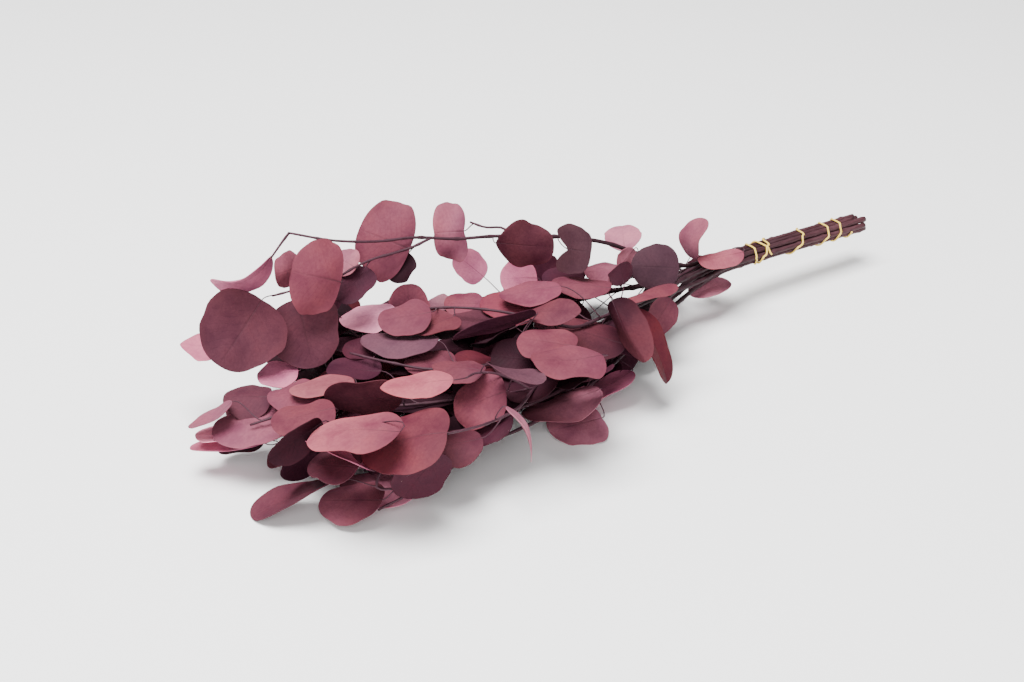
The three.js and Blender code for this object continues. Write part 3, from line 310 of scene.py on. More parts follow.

# Small leaves deep in the bunch, which the solids leave out, in dark tints that are painted shade
INNER_STEP = 12
INNER_TRIES = 20
INNER_TURNS = 6
INNER_TWIST = 2.4  # turn from one station to the next, in radians
INNER_WIDTH = (28, 52)
INNER_STALK = (5, 34)
INNER_LOWEST = 3
# Painted shade: the darkest tints, so that the inside of the bunch looks shaded
INNER_PAINTED_SHADE_TINTS = ("shade", "berry", "wine", "shade", "berry", "shade", "berry")
INNER_MARKS = 6  # on each side of its outline, that show whether it is hidden
INNER_RINGS = 4
SCREEN_MARKS = 8  # on each side of the outline of a leaf that hides others
INNER_GRID = (6, 9)
TEST_GRID = 5  # squares each way of the sheet that finds out what a leaf meets
DENSE = (  # where, as the camera sees it, the bunch lets no light through
    (343, 324), (362, 311), (400, 304), (440, 304), (478, 301), (500, 291), (545, 287), (575, 292),
    (580, 318), (605, 322), (622, 332), (630, 352), (626, 366), (606, 378), (588, 388), (560, 396),
    (545, 402), (520, 412), (508, 425), (490, 440), (474, 446), (462, 462), (445, 478), (420, 490),
    (395, 490), (370, 484), (345, 476), (320, 470), (298, 476), (290, 468), (276, 455), (282, 440),
    (262, 442), (225, 441), (216, 434), (242, 418), (236, 408), (262, 402), (274, 389), (300, 384),
    (322, 374), (335, 362),
)

# Leaves in the darkest tint that close the gaps which those leave: painted shade where the floor would show
PAINTED_SHADE_GAP_LEAVES = (
    leaf("gap_middle", 6, (505, 344, 40), (455, 335, 38), 42, "shade", roll=-60),
    leaf("gap_left", 2, (356, 372, 40), (318, 361, 38), 40, "shade", roll=-60),
    leaf("gap_ridge", 2, (380, 341, 50), (330, 334, 48), 40, "shade", roll=-60),
    leaf("gap_spray", 2, (354, 358, 44), (316, 353, 44), 34, "shade", roll=-60),
    leaf("gap_corner", 7, (331, 380, 36), (294, 369, 34), 36, "shade", roll=-60),
    leaf("gap_hero", 4, (472, 393, 50), (438, 385, 48), 34, "shade", roll=-60),
)

# Fine leaves
LARGE_BLADE = 56  # a margin's waves have their full height on one this wide
LEAF_GRID = (14, 24)  # squares across and along a blade
SHEET = 0.5  # thickness of a blade
WAVE = 1.4  # height of the waves of a margin
FOLD = 2.6  # most that a blade is folded along its rib, where its row doesn't say
WAVE_RANGE = (0.5, 1.6)  # from one leaf to the next
WAVE_PHASE = 8.5  # radians of a wave from base to tip, as are the phases below
SWELL = 0.7  # height of the swells inside a blade, as a share of its waves
SWELL_PHASES = (6, 3)
NIBBLE = 0.014  # share of the width by which a margin is uneven
NIBBLE_PHASES = (23, 11)
LUMP = 0.05  # share by which its whole outline is
LUMP_PHASE = 5
LUMP_LEAD = 1.2
RIB_SIDES = 6
RIB_END = 0.75  # where along the blade its rib has sunk into it
RIB_RADIUS = (0.4, 0.12)
RIB_SHADE = 0.75
RIB_TINTS = (0.2, 1)  # share of the blade's colour in the rib's, from base to tip
FINE_STALK = (0.62, 0.45)  # radius at the stem and at the blade
STALK_RINGS = 10
RIB_RINGS = 12
WELD = 0.02
SHARP = math.radians(50)

# Fine wood
WOOD_SIDES = 10
WOOD_STEP = 4
WOOD_FULLNESS = 1.05  # bark radius as a share of the solid's, which has flat sides
NODE_STEP = 31  # from one leaf scar of a stem to the next
NODE_LENGTH = 2.2
NODE_SWELL = 0.3
WOOD_UNEVEN = 0.04
DARKEST_WOOD = 0.6  # thickness, from tip (0) to cut end (1), where the bark is darkest
MAP_PER_MM = 0.1  # of a rod's own map

# The elastic tie
# Where, along the bundle, one turn of the band ends and the next starts
TIE_MARKS = (764, 749, 757, 793, 820, 833, 845)
TIE_STEPS = 14
TIE_PITCH = 2
TIE_SIDES = 12
TIE_FINE_STEP = 1.2
TIE_RADIUS = 0.9
TIE_RIB_SCALE = 1.6  # of the wave pattern: a rib in every 2 mm of the band

# What the patterns of the surfaces measure. The dye's clouds are as large as on the real
# leaves. Glands are 0.2 mm wide there, and flecks are drawn larger so that they show.
CLOUD_SIZE = 23.8
FLECK_SIZE = 2.38
RIB_WIDTH = 0.045  # share of half the blade's width
VEINS = 9.5  # side veins on each side
VEIN_SLANT = 3.2  # spaces between veins by which one has risen at the margin
VEIN_WANDER = 1.2
VEIN_DEPTH = 0.35  # share of the rib's
GRAIN_DEPTH = 0.3
BUCKLE_DEPTH = 1.6
SUNK_RIB = -0.6
RAISED_RIB = 0.8
WRINKLE_LENGTH = 14.3
WRINKLES = 9  # round a stem
PATCH_SIZE = 14.3
FIBRE_SIZE = 1.11
DUST_SIZE = 3.33
HAZE_SIZE = 500

# Colours of the dyed leaves, of the wood by its thickness, and of the tie
TINTS = {
    # pink is painted light: paler than any dye, for leaves that lie in shade among others
    "pink": "#fa9db8",
    "blush": "#c26c87",
    "petal": "#b16b7c",
    "salmon": "#ad5a66",
    "fawn": "#985259",
    "mauve": "#94606f",
    "dusty": "#8c4e5f",
    "rose": "#854353",
    "coral": "#7d3745",
    "rosewood": "#753a47",
    "plum": "#69343f",
    "brick": "#692a35",
    "ash": "#5f3a46",
    "damson": "#5b2d38",
    "smoke": "#472b34",
    "rust": "#551d27",
    "wine": "#451c2b",
    "berry": "#32101d",
    # shade is painted shade: darker than any dye, for leaves that stand for shade deep in the bunch
    "shade": "#280e18",
}
TINT_SPREAD = 0.06
LEAF_VALUE = 0.75
LEAF_SATURATION = 0.99
THIN_WOOD = "#432631"
THICK_WOOD = "#2b161d"
CUT_END_WOOD = "#4a2b31"
TIE_TINT = "#e6c460"

# The studio, in metres and watts
FLOOR_SIZE = 12
FLOOR_SQUARES = 8
ROOM_LIGHT = 0.3
KEY_OFFSET = (-0.7, 0.1, 3.1)
KEY_SIZE = 2.1
KEY_POWER = 345
FILL_OFFSET = (-2.0, -2.4, 1.6)
FILL_SIZE = 2.2
FILL_POWER = 95


def linear(hex_colour):
    """An sRGB hex colour as linear RGBA."""
    parts = [int(hex_colour[i : i + 2], 16) / 255 for i in (1, 3, 5)]
    return [*(c / 12.92 if c <= 0.04045 else ((c + 0.055) / 1.055) ** 2.4 for c in parts), 1]


def view_directions():
    """The camera's back, right and up, and where it stands."""
    back = Vector((
        math.sin(AZIMUTH) * math.cos(ELEVATION),
        -math.cos(AZIMUTH) * math.cos(ELEVATION),
        math.sin(ELEVATION),
    ))
    right = Vector((math.cos(AZIMUTH), math.sin(AZIMUTH), 0))
    return back, right, back.cross(right), VIEW_TARGET + back * VIEW_DISTANCE


BACK, RIGHT, UP, EYE = view_directions()
FOCAL = FRAME_WIDTH * LENS / FILM_WIDTH


def sighted(mark):
    """The point at a sight mark."""
    u, v, height = mark
    ray = -BACK + RIGHT * ((u - FRAME_WIDTH / 2) / FOCAL) + UP * ((FRAME_HEIGHT / 2 - v) / FOCAL)
    return EYE + ray * ((height - EYE.z) / ray.z)


def seen(point):
    """Where the camera sees a point, and how far away it is."""
    offset = point - EYE
    depth = -offset.dot(BACK)
    u = FRAME_WIDTH / 2 + FOCAL * offset.dot(RIGHT) / depth
    v = FRAME_HEIGHT / 2 - FOCAL * offset.dot(UP) / depth
    return u, v, depth


def pushed(point, distance):
    """A point moved away along the camera's line of sight."""
    return EYE + (point - EYE) * (1 + distance / VIEW_DISTANCE)


def taper(count, start, end):
    """Values in even steps from a start to an end."""
    return [start + (end - start) * i / (count - 1) for i in range(count)]


def rounded(value):
    """The nearest whole number, with halves upwards."""
    return math.floor(value + 0.5)


def curve_point(points, share):
    """A point of the centripetal spline through points, by its share of their count."""
    place = share * (len(points) - 1)
    start = min(math.floor(place), len(points) - 2)
    weight = place - start
    p1, p2 = points[start], points[start + 1]
    p0 = points[start - 1] if start > 0 else p1 * 2 - p2
    p3 = points[start + 2] if start + 2 < len(points) else p2 * 2 - p1
    d0, d1, d2 = (math.sqrt((b - a).length) for a, b in ((p0, p1), (p1, p2), (p2, p3)))
    slope1 = ((p1 - p0) / d0 - (p2 - p0) / (d0 + d1) + (p2 - p1) / d1) * d1
    slope2 = ((p2 - p1) / d1 - (p3 - p1) / (d1 + d2) + (p3 - p2) / d2) * d1
    square = (p2 - p1) * 3 - slope1 * 2 - slope2
    cube = (p1 - p2) * 2 + slope1 + slope2
    return p1 + slope1 * weight + square * weight**2 + cube * weight**3


def smooth_line(points, step):
    """Points along a smooth line, each about a step from the last."""
    marks = [curve_point(points, i / ARC_PIECES) for i in range(ARC_PIECES + 1)]
    lengths = [0]
    for before, after in zip(marks, marks[1:]):
        lengths.append(lengths[-1] + (after - before).length)
    count = max(2, rounded(lengths[-1] / step))
    line = []
    piece = 0
    for i in range(count + 1):
        wanted = lengths[-1] * i / count
        while piece < ARC_PIECES - 1 and lengths[piece + 1] < wanted:
            piece += 1
        part = (wanted - lengths[piece]) / (lengths[piece + 1] - lengths[piece])
        line.append(curve_point(points, (piece + part) / ARC_PIECES))
    return line


def carried_frames(points, first_side=None):
    """Each point's side, tangent and lift, carried along a line without turning about it."""
    frames = []
    side = first_side
    for i in range(len(points)):
        tangent = (points[min(i + 1, len(points) - 1)] - points[max(i - 1, 0)]).normalized()
        side = side or Vector((0, 0, 1)).cross(tangent)
        side = (side - tangent * side.dot(tangent)).normalized()
        frames.append((side, tangent, side.cross(tangent)))
    return frames


def fullness(s, blunt):
    """How wide a blade is at s, from base (0) to tip (1), as a share of its half width."""
    return max(1 - abs(2 * s - 1) ** blunt, 0) ** (1 / blunt) * (1 + EGG * (0.5 - s))


class Blade:
    """A blade's middle surface: s runs from its base to its tip, and t from -1 to 1 across."""

    def __init__(self, row, base, tip, facing):
        self.row = row
        self.base = base
        self.tip = tip
        self.along = (tip - base).normalized()
        self.length = (tip - base).length
        self.ahead = (facing - self.along * facing.dot(self.along)).normalized()
        self.aside = self.ahead.cross(self.along)
        self.blunt = row.get("blunt", BLUNT)

    def shape(self, name):
        """What the blade's row says of a shape, or none of it."""
        return self.row.get(name, 0)

    def turned(self, s):
        """The directions out of the blade and across it at its rib."""
        angle = math.radians(self.shape("roll") + self.shape("twist") * (s - 0.5))
        outward = self.ahead * math.cos(angle) + self.aside * math.sin(angle)
        return outward, self.along.cross(outward)

    def point(self, s, t):
        outward, across = self.turned(s)
        full = fullness(s, self.blunt)
        width = self.row["width"]
        ripple = 1 + RIPPLE * math.sin(width + RIPPLE_ALONG * s + RIPPLE_ACROSS * t)
        half_width = max(width / 2 * full * ripple, STALK_RADIUS * (1 - s))
        forward = s + full * t * t * (self.shape("notch") * s**2 - self.shape("lobe") * (1 - s) ** 2)
        lift = self.shape("arch") * 4 * s * (1 - s) + self.shape("cup") * full**2 * t**2
        sideways = half_width * t + self.shape("bend") * 4 * s * (1 - s)
        spot = self.base + self.along * (self.length * forward) + across * sideways + outward * lift
        spot.z = max(spot.z, BLADE_THICKNESS / 2)
        return spot

    def normal(self, s, t):
        """The direction out of the blade at a point of it."""
        if s < BLADE_END or s > 1 - BLADE_END:
            return self.turned(s)[0]
        lengthwise = self.point(min(s + SLOPE_STEP, 1), t) - self.point(max(s - SLOPE_STEP, 0), t)
        crosswise = self.point(s, min(t + SLOPE_STEP, 1)) - self.point(s, max(t - SLOPE_STEP, -1))
        return crosswise.cross(lengthwise).normalized()

    def outline(self, count):
        """The two sides of its outline, base to tip and back, as the camera sees them."""
        shares = [(1 - math.cos(math.pi * i / count)) / 2 for i in range(count)]
        there = [seen(self.point(s, -1)) for s in shares]
        return there + [seen(self.point(1 - s, 1)) for s in shares]


def solid_corners(blade):
    """The corners that the blade's solid has along its margins."""
    width = blade.row["width"]
    count = HIDDEN_ROWS
    if "name" in blade.row:
        count = next(rows for least, rows in BLADE_ROWS if width >= least)
    corners = []
    for i in range(1, count):
        s = (1 - math.cos(math.pi * i / count)) / 2
        for t in (-1, 1):
            spot, offset = blade.point(s, t), blade.normal(s, t) * (BLADE_THICKNESS / 2)
            corners += [above_table(spot + offset), above_table(spot - offset)]
    return corners


def above_table(point):
    """The point, or the one over it on the table if it lies lower."""
    return Vector((point.x, point.y, max(point.z, 0)))


def boxed(point):
    """The point, moved onto the solids' box if it lies outside."""
    return Vector([min(max(value, low), high) for value, low, high in zip(point, LOWEST, HIGHEST)])


def held_share(corners, tree):
    """The share of some corners that a solid has."""
    return sum(tree.find(corner)[2] < HELD for corner in corners) / len(corners)


def shown_blade(row, distance):
    """A leaf of the table, moved away by a distance along the line of sight."""
    base = pushed(sighted(row["base"]), distance)
    tip = pushed(sighted(row["tip"]), distance)
    return Blade(row, base, tip, EYE - base - (tip - base) * 0.5)


def shown_tries(row):
    """The places where the solids may have put a leaf of the table."""
    shifts = [(1 if i % 2 else -1) * math.ceil(i / 2) * SHIFT_STEP for i in range(SHIFT_TRIES)]
    return [shown_blade(row, shift) for shift in shifts]


def generator(seed):
    """A seeded generator of numbers from 0 to 1."""
    state = seed
    while True:
        state = (state * 1664525 + 1013904223) % 2**32
        yield state / 2**32


def leaf_draw(stem, station, leaf_number):
    """The numbers for one leaf of the seeded rule."""
    return generator(SEED + STEM_SEEDS * stem + STATION_SEEDS * station + leaf_number)


def between(limits, draw):
    """A drawn number between two limits."""
    low, high = limits
    return low + (high - low) * next(draw)


def filler_try(root, root_frame, turn, draw, widths=FILLER_WIDTH, stalks=FILLER_STALK):
    """A leaf that leans away from its stem at a place on the stem's line."""
    side, tangent, lift = root_frame
    angle = turn + between(FILLER_SWING, draw)
    lean = math.radians(between(FILLER_LEAN, draw))
    width = between(widths, draw)
    outward = side * math.cos(angle) + lift * math.sin(angle)
    along = tangent * math.cos(lean) + outward * math.sin(lean)
    base = root + along * between(stalks, draw)
    tip = base + along * (width * between(FILLER_LENGTH, draw))
    facing = Vector((between(FILLER_TILT, draw), between(FILLER_TILT, draw), 1))
    row = {"width": width, "roll": between(FILLER_ROLL, draw)}
    row["cup"] = between(FILLER_CUP, draw)
    row["arch"] = between(FILLER_ARCH, draw)
    row["tint"] = FILLER_TINTS[int(width * TINT_CHANGES) % len(FILLER_TINTS)]
    return Blade(row, base, tip, facing)


def filler_blades(stem, line, tree):
    """The fillers that the stem's solid holds."""
    line = smooth_line(line, FILLER_STEP)
    frames = carried_frames(line)
    first, last = (rounded(share * (len(line) - 1)) for share in STEMS[stem]["leafy"])
    found = []
    for i in range(first, last + 1):
        for pair in (0, 1):
            draw = leaf_draw(stem, i, pair)
            turn = math.pi / 2 * i + math.pi * pair
            tries = [filler_try(line[i], frames[i], turn, draw) for _ in range(FILLER_TRIES)]
            share, blade = best_held(tries, tree)
            if share > HELD_SHARE:
                found.append(blade)
    return found


def best_held(tries, tree):
    """The share that a solid holds of the try it holds best, and that try."""
    shares = [held_share(solid_corners(blade), tree) for blade in tries]
    best = max(range(len(tries)), key=lambda i: shares[i])
    return shares[best], tries[best]


def inside(mark, outline):
    """True if an outline goes round a mark."""
    u, v = mark[:2]
    odd = False
    for before, after in zip(outline, [*outline[1:], outline[0]]):
        if (before[1] > v) != (after[1] > v):
            crossing = (after[0] - before[0]) * (v - before[1]) / (after[1] - before[1]) + before[0]
            if u < crossing:
                odd = not odd
    return odd


def test_sheet(blade):
    """A blade's middle, reach and coarse surface, to find out what it meets."""
    spots = [blade.point(i / TEST_GRID, 2 * j / TEST_GRID - 1)
             for i in range(TEST_GRID + 1) for j in range(TEST_GRID + 1)]
    rows = TEST_GRID + 1
    faces = [(i * rows + j, i * rows + j + 1, (i + 1) * rows + j + 1, (i + 1) * rows + j)
             for i in range(TEST_GRID) for j in range(TEST_GRID)]
    middle = (blade.base + blade.tip) / 2
    reach = max((spot - middle).length for spot in spots)
    return middle, reach, BVHTree.FromPolygons(spots, faces)


def clear_of(sheet, others):
    """True if a leaf lies well inside the solids' box and crosses none of the others."""
    middle, reach, surface = sheet
    if any(middle[k] - reach < LOWEST[k] or middle[k] + reach > HIGHEST[k] for k in (0, 1)):
        return False
    near = [other for other in others if (other[0] - middle).length < other[1] + reach]
    return not any(surface.overlap(other[2]) for other in near)


def deep_inside(blade, screens):
    """True if a blade shows only where the bunch is dense, behind the leaves that show."""
    for mark in (*blade.outline(INNER_MARKS), seen(blade.point(0.5, 0))):
        over = [depth for outline, depth in screens if inside(mark, outline)]
        if any(mark[2] < depth for depth in over) or not (over or inside(mark, DENSE)):
            return False
    return True


def screen(blade):
    """What a leaf hides: the marks round its outline, and how far away it is."""
    outline = blade.outline(SCREEN_MARKS)
    return outline, sum(mark[2] for mark in outline) / len(outline)


def hidden(mark, screens):
    """True if a mark is behind a leaf that shows."""
    return any(depth < mark[2] and inside(mark, outline) for outline, depth in screens)


def inner_blade(root, root_frame, turn, draw, screens, sheets):
    """The first try at a small leaf that stays hidden and meets no other, if there is one."""
    for _ in range(INNER_TRIES):
        blade = filler_try(root, root_frame, turn, draw, INNER_WIDTH, INNER_STALK)
        if min(blade.base.z, blade.tip.z) < INNER_LOWEST or not deep_inside(blade, screens):
            continue
        sheet = test_sheet(blade)
        if clear_of(sheet, sheets):
            sheets.append(sheet)
            return blade
    return None


def inner_blades(stem, line, screens, sheets):
    """Small painted-shade leaves deep in the bunch along one stem, each with where it leaves the stem."""
    line = smooth_line(line, INNER_STEP)
    frames = carried_frames(line)
    first, last = (rounded(share * (len(line) - 1)) for share in STEMS[stem]["leafy"])
    found = []
    for i in range(first, last + 1):
        if not hidden(seen(line[i]), screens):
            continue
        for step in range(INNER_TURNS):
            turn = INNER_TWIST * i + 2 * math.pi * step / INNER_TURNS
            draw = leaf_draw(stem, i, step)
            blade = inner_blade(line[i], frames[i], turn, draw, screens, sheets)
            if blade:
                blade.row["tint"] = INNER_PAINTED_SHADE_TINTS[(i + step) % len(INNER_PAINTED_SHADE_TINTS)]
                found.append((blade, line[i]))
    return found


def stem_line(stem):
    """A main stem's line: along its slot in the tied part, then its own route."""
    slot, trim, route = STEMS[stem]["slot"], STEMS[stem]["trim"], STEMS[stem]["route"]
    axis = [sighted(mark) for mark in BUNDLE_AXIS]
    tangent = (axis[-1] - axis[0]).normalized()
    lift = Vector((0, 0, 1))
    offset = tangent.cross(lift).normalized() * (slot[0] * SLOT_PITCH) + lift * (slot[1] * SLOT_ROW_RISE)
    axis[0] = axis[0] + tangent * trim
    tied = [point + offset for point in axis]
    spread = sighted(SPREAD) + offset * SPREAD_FACTOR
    return smooth_line([*tied, spread, *map(sighted, route)], STEM_STEP)


def nearest_on(line, point):
    """The point of a line of straight stretches that lies nearest to a point."""
    spots = []
    for start, end in zip(line, line[1:]):
        stretch = end - start
        share = (point - start).dot(stretch) / stretch.length_squared
        spots.append(start + stretch * min(max(share, 0), 1))
    return min(spots, key=lambda spot: (spot - point).length)


def painted_shade_gap_blades(stem, line):
    """A stem's leaves of painted shade that close gaps, each with where it leaves the stem."""
    blades = [shown_blade(row, 0) for row in PAINTED_SHADE_GAP_LEAVES if row["stem"] == stem]
    return [(blade, nearest_on(line, blade.base)) for blade in blades]


def bezier(ends, share):
    """A point of a stalk's curve."""
    root, leave, arrive, base = ends
    rest = 1 - share
    return root * rest**3 + leave * (3 * rest**2 * share) + arrive * (3 * rest * share**2) + base * share**3


def stalk_way(root, forward, blade, bow=(0, 0, 0)):
    """The four points of a stalk's curve, from its root to its blade."""
    reach = (blade.base - root).length
    lift = Vector(bow) * reach
    leave = root + forward * (STALK_EASE * reach) + lift
    arrive = blade.base - blade.along * (STALK_EASE * reach) + lift
    leave.z = max(leave.z, STALK_LIFT)
    arrive.z = max(arrive.z, STALK_LIFT)
    return root, leave, arrive, blade.base


def stalk_ways(lines, blade):
    """Every way that the solid's stalk can run to a blade."""
    for line in lines:
        for start, end in zip(line, line[1:]):
            for share in STALK_ROOTS:
                for bow in STALK_BOWS:
                    yield stalk_way(start.lerp(end, share), (end - start).normalized(), blade, bow)


def stalk_corners(way, blade):
    """The corners that a stalk's solid has halfway along it."""
    middle = bezier(way, 0.5)
    from_blade = -blade.turned(0)[1]
    side, tangent, _ = carried_frames([way[3], middle, way[0]], from_blade)[1]
    normal = (-side).cross(-tangent)
    corners = []
    for t in (-1, 0, 1):
        half = BLADE_THICKNESS / 2 if t else STALK_RADIUS
        spot = middle - side * (STALK_RADIUS * t)
        corners += [above_table(spot + normal * half), above_table(spot - normal * half)]
    return corners


def held_way(lines, blade, tree):
    """The way of a blade's stalk that its stem's solid holds."""
    best, best_share = None, -1
    for way in stalk_ways(lines, blade):
        if tree.find(bezier(way, 0.5))[2] > 2 * STALK_RADIUS:
            continue
        share = held_share(stalk_corners(way, blade), tree)
        if share > best_share:
            best, best_share = way, share
    return best


def uneven(blade, draw):
    """Random numbers that make one blade's margin and surface its own."""
    own = {name: draw.uniform(0, 2 * math.pi) for name in ("margin", "nibble", "lump", "swell", "side")}
    own["wave"] = WAVE * draw.uniform(*WAVE_RANGE) * blade.row["width"] / LARGE_BLADE
    own["fold"] = blade.row.get("crease", draw.uniform(-FOLD, FOLD / 2))
    return own


def fine_spot(blade, s, t, own):
    """A point of the fine blade: the solid's surface with a fold, waves and an uneven margin."""
    side = 1 if t > 0 else -1
    fine, coarse = NIBBLE_PHASES
    nibble = NIBBLE * (math.sin(own["nibble"] + fine * s * side) + math.sin(own["margin"] + coarse * s))
    lump = LUMP * math.sin(own["lump"] + (LUMP_PHASE * s + LUMP_LEAD) * side)
    spot = blade.point(s, t * (1 - NIBBLE - LUMP + (nibble + lump) * t * t))
    full = fullness(s, blade.blunt)
    wave = own["wave"] * full * t**4 * math.sin(own["margin"] + WAVE_PHASE * s * side)
    along, across = SWELL_PHASES
    swell = own["wave"] * SWELL * full * math.sin(own["swell"] + along * s)
    swell *= math.sin(own["side"] + across * t)
    fold = own["fold"] * full * abs(t)
    spot = spot + blade.turned(s)[0] * (wave + swell + fold)
    spot.z = max(spot.z, BLADE_THICKNESS / 2)
    return spot


def varied(tint, draw):
    """A tint as linear colour, a little lighter or darker from one leaf to the next."""
    share = 1 + draw.uniform(-TINT_SPREAD, TINT_SPREAD) * 2
    warmth = 1 + draw.uniform(-TINT_SPREAD, TINT_SPREAD)
    red, green, blue, alpha = linear(TINTS[tint])
    return Vector((red * share * warmth, green * share, blue * share / warmth, alpha))


def grow_blade(mesh, blade, own, draw, grid=LEAF_GRID):
    """Adds a blade as a sheet, with its own map (s, t) and its tint."""
    tint = varied(blade.row["tint"], draw)
    tip_tint = varied(blade.row.get("end", blade.row["tint"]), draw)
    uv = mesh.loops.layers.uv["leaf"]
    colour = mesh.verts.layers.float_color["tint"]
    sheet = bmesh.ops.create_grid(mesh, x_segments=grid[0], y_segments=grid[1], size=1)["verts"]
    place = {vert: ((1 - math.cos(math.pi * (vert.co.y + 1) / 2)) / 2, vert.co.x) for vert in sheet}
    for face in {face for vert in sheet for face in vert.link_faces}:
        face.smooth = True
        for loop in face.loops:
            s, t = place[loop.vert]
            loop[uv].uv = (s, (t + 1) / 2)
    for vert, (s, t) in place.items():
        vert.co = fine_spot(blade, s, t, own)
        vert[colour] = tint.lerp(tip_tint, s)


def thicken(mesh):
    """Gives every sheet its thickness, with the underside in its own finish."""
    bmesh.ops.remove_doubles(mesh, verts=mesh.verts, dist=WELD)
    mesh.normal_update()
    normals = {tuple(vert.co): vert.normal.copy() for vert in mesh.verts}
    under_faces = list(mesh.faces)
    under_corners = list(mesh.verts)
    upper = bmesh.ops.extrude_face_region(mesh, geom=under_faces, use_keep_orig=True)["geom"]
    upper_corners = [item for item in upper if isinstance(item, bmesh.types.BMVert)]
    for side, corners in ((-1, under_corners), (1, upper_corners)):
        for vert in corners:
            vert.co += normals[tuple(vert.co)] * (side * SHEET / 2)
    bmesh.ops.reverse_faces(mesh, faces=under_faces)
    for face in under_faces:
        face.material_index = 1
    bmesh.ops.recalc_face_normals(mesh, faces=mesh.faces)
    for edge in mesh.edges:
        edge.smooth = edge.calc_face_angle(0) < SHARP


def map_rod(part, place, step):
    """Gives a rod its own map, with no jump where its turn starts again."""
    uv = part.loops.layers.uv["leaf"]
    for face in part.faces:
        turns = [place[loop.vert][1] for loop in face.loops]
        for loop, turn in zip(face.loops, turns):
            wrapped = turn + 1 if turn < 0 and max(turns) - min(turns) > 0.5 else turn
            loop[uv].uv = (place[loop.vert][0] * step * MAP_PER_MM, wrapped)


def grow_rod(mesh, line, radii, tints, sides):
    """Adds a round rod with closed ends, with its own map (length, turn) and its tints."""
    part = bmesh.new()
    part.loops.layers.uv.new("leaf")
    colour = part.verts.layers.float_color.new("tint")
    rings = len(line) - 1
    bmesh.ops.create_cone(part, cap_ends=True, segments=sides, radius1=1, radius2=1, depth=2)
    walls = [edge for edge in part.edges if abs(edge.verts[0].co.z - edge.verts[1].co.z) > 1]
    bmesh.ops.subdivide_edges(part, edges=walls, cuts=rings - 1)
    frames = carried_frames(line)
    place = {}
    for vert in part.verts:
        station = round((vert.co.z + 1) / 2 * rings)
        turn = math.atan2(vert.co.y, vert.co.x) / (2 * math.pi)
        place[vert] = (station, turn)
        side, _, lift = frames[station]
        spot = line[station] + (side * vert.co.x - lift * vert.co.y) * radii[station]
        vert[colour] = tints[station]
        vert.co = spot
    for face in part.faces:
        face.smooth = len(face.verts) == 4
        face.material_index = 0 if face.smooth else 1
    map_rod(part, place, (line[1] - line[0]).length)
    bmesh.ops.recalc_face_normals(part, faces=part.faces)
    part.to_mesh(SCRATCH)
    mesh.from_mesh(SCRATCH)
    part.free()


def new_mesh():
    """An empty mesh with a map and a tint, as every piece has."""
    mesh = bmesh.new()
    mesh.loops.layers.uv.new("leaf")
    mesh.verts.layers.float_color.new("tint")
    return mesh


def finished(mesh, name, materials, nodes):
    """Makes a mesh a piece of the bunch, in metres, in place of the solids it follows."""
    for vert in mesh.verts:
        vert.co = boxed(vert.co)
    bmesh.ops.scale(mesh, vec=(MM, MM, MM), verts=mesh.verts)
    data = bpy.data.meshes.new(name)
    mesh.to_mesh(data)
    mesh.free()
    for material in materials:
        data.materials.append(material)
    piece = bpy.data.objects.new(name, data)
    bpy.context.collection.objects.link(piece)
    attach(piece, "root")
    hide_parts(*nodes)


def grow_stalk(mesh, way, blade, own, rib_rings=RIB_RINGS):
    """Adds a fine stalk from its stem, and on along the blade as its rib."""
    stalk = [bezier(way, i / STALK_RINGS) for i in range(STALK_RINGS)]
    rib = [fine_spot(blade, RIB_END * i / rib_rings, 0, own) for i in range(rib_rings + 1)]
    radii = [*taper(STALK_RINGS, *FINE_STALK), *taper(rib_rings + 1, *RIB_RADIUS)]
    wood = Vector(linear(THIN_WOOD))
    blade_tint = Vector(linear(TINTS[blade.row["tint"]])) * RIB_SHADE
    ribs = [wood.lerp(blade_tint, share) for share in taper(rib_rings + 1, *RIB_TINTS)]
    grow_rod(mesh, [*stalk, *rib], radii, [wood] * STALK_RINGS + ribs, RIB_SIDES)


def node_swell(place):
    """How much thicker a stem is near a leaf scar, at a place along it."""
    offset = (place + NODE_STEP / 2) % NODE_STEP - NODE_STEP / 2
    return 1 + NODE_SWELL * math.exp(-((offset / NODE_LENGTH) ** 2))


def grow_wood(mesh, line, start, end, draw):
    """Adds a fine stem or twig along the straight stretches of its solid."""
    fine = smooth_line(line, WOOD_STEP)
    phase = draw.uniform(0, NODE_STEP)
    radii, tints = [], []
    for i, radius in enumerate(taper(len(fine), start, end)):
        unevenness = node_swell(phase + i * WOOD_STEP) * (1 + draw.uniform(-WOOD_UNEVEN, WOOD_UNEVEN))
        radii.append(radius * WOOD_FULLNESS * unevenness)
        tints.append(wood_tint((radius - STEM_TIP_RADIUS) / (STEM_RADIUS - STEM_TIP_RADIUS)))
    grow_rod(mesh, fine, radii, tints, WOOD_SIDES)


def wood_tint(thickness):
    """The wood's colour: dusky in thin twigs, darker in stems, browner at their cut ends."""
    thin, thick, cut = (Vector(linear(tint)) for tint in (THIN_WOOD, THICK_WOOD, CUT_END_WOOD))
    if thickness < DARKEST_WOOD:
        return thin.lerp(thick, max(thickness, 0) / DARKEST_WOOD)
    return thick.lerp(cut, (thickness - DARKEST_WOOD) / (1 - DARKEST_WOOD))


def corner_tree(stem):
    """The corners of a stem's solid, in millimetres, to look up what lies near a point."""
    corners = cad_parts[f"leafy_stem_{stem:02d}"].data.vertices
    tree = KDTree(len(corners))
    for corner in corners:
        tree.insert(corner.co / MM, corner.index)
    tree.balance()
    return tree


def placed_leaves(stem, lines, tree):
    """The leaves that a stem's solid holds, each with its stalk's way: shown ones, then fillers."""
    shown = [best_held(shown_tries(row), tree)[1] for row in LEAVES if row["stem"] == stem]
    fillers = filler_blades(stem, lines[0], tree) if stem in FILLER_STEMS else []
    return [(blade, held_way(lines, blade, tree)) for blade in shown + fillers]


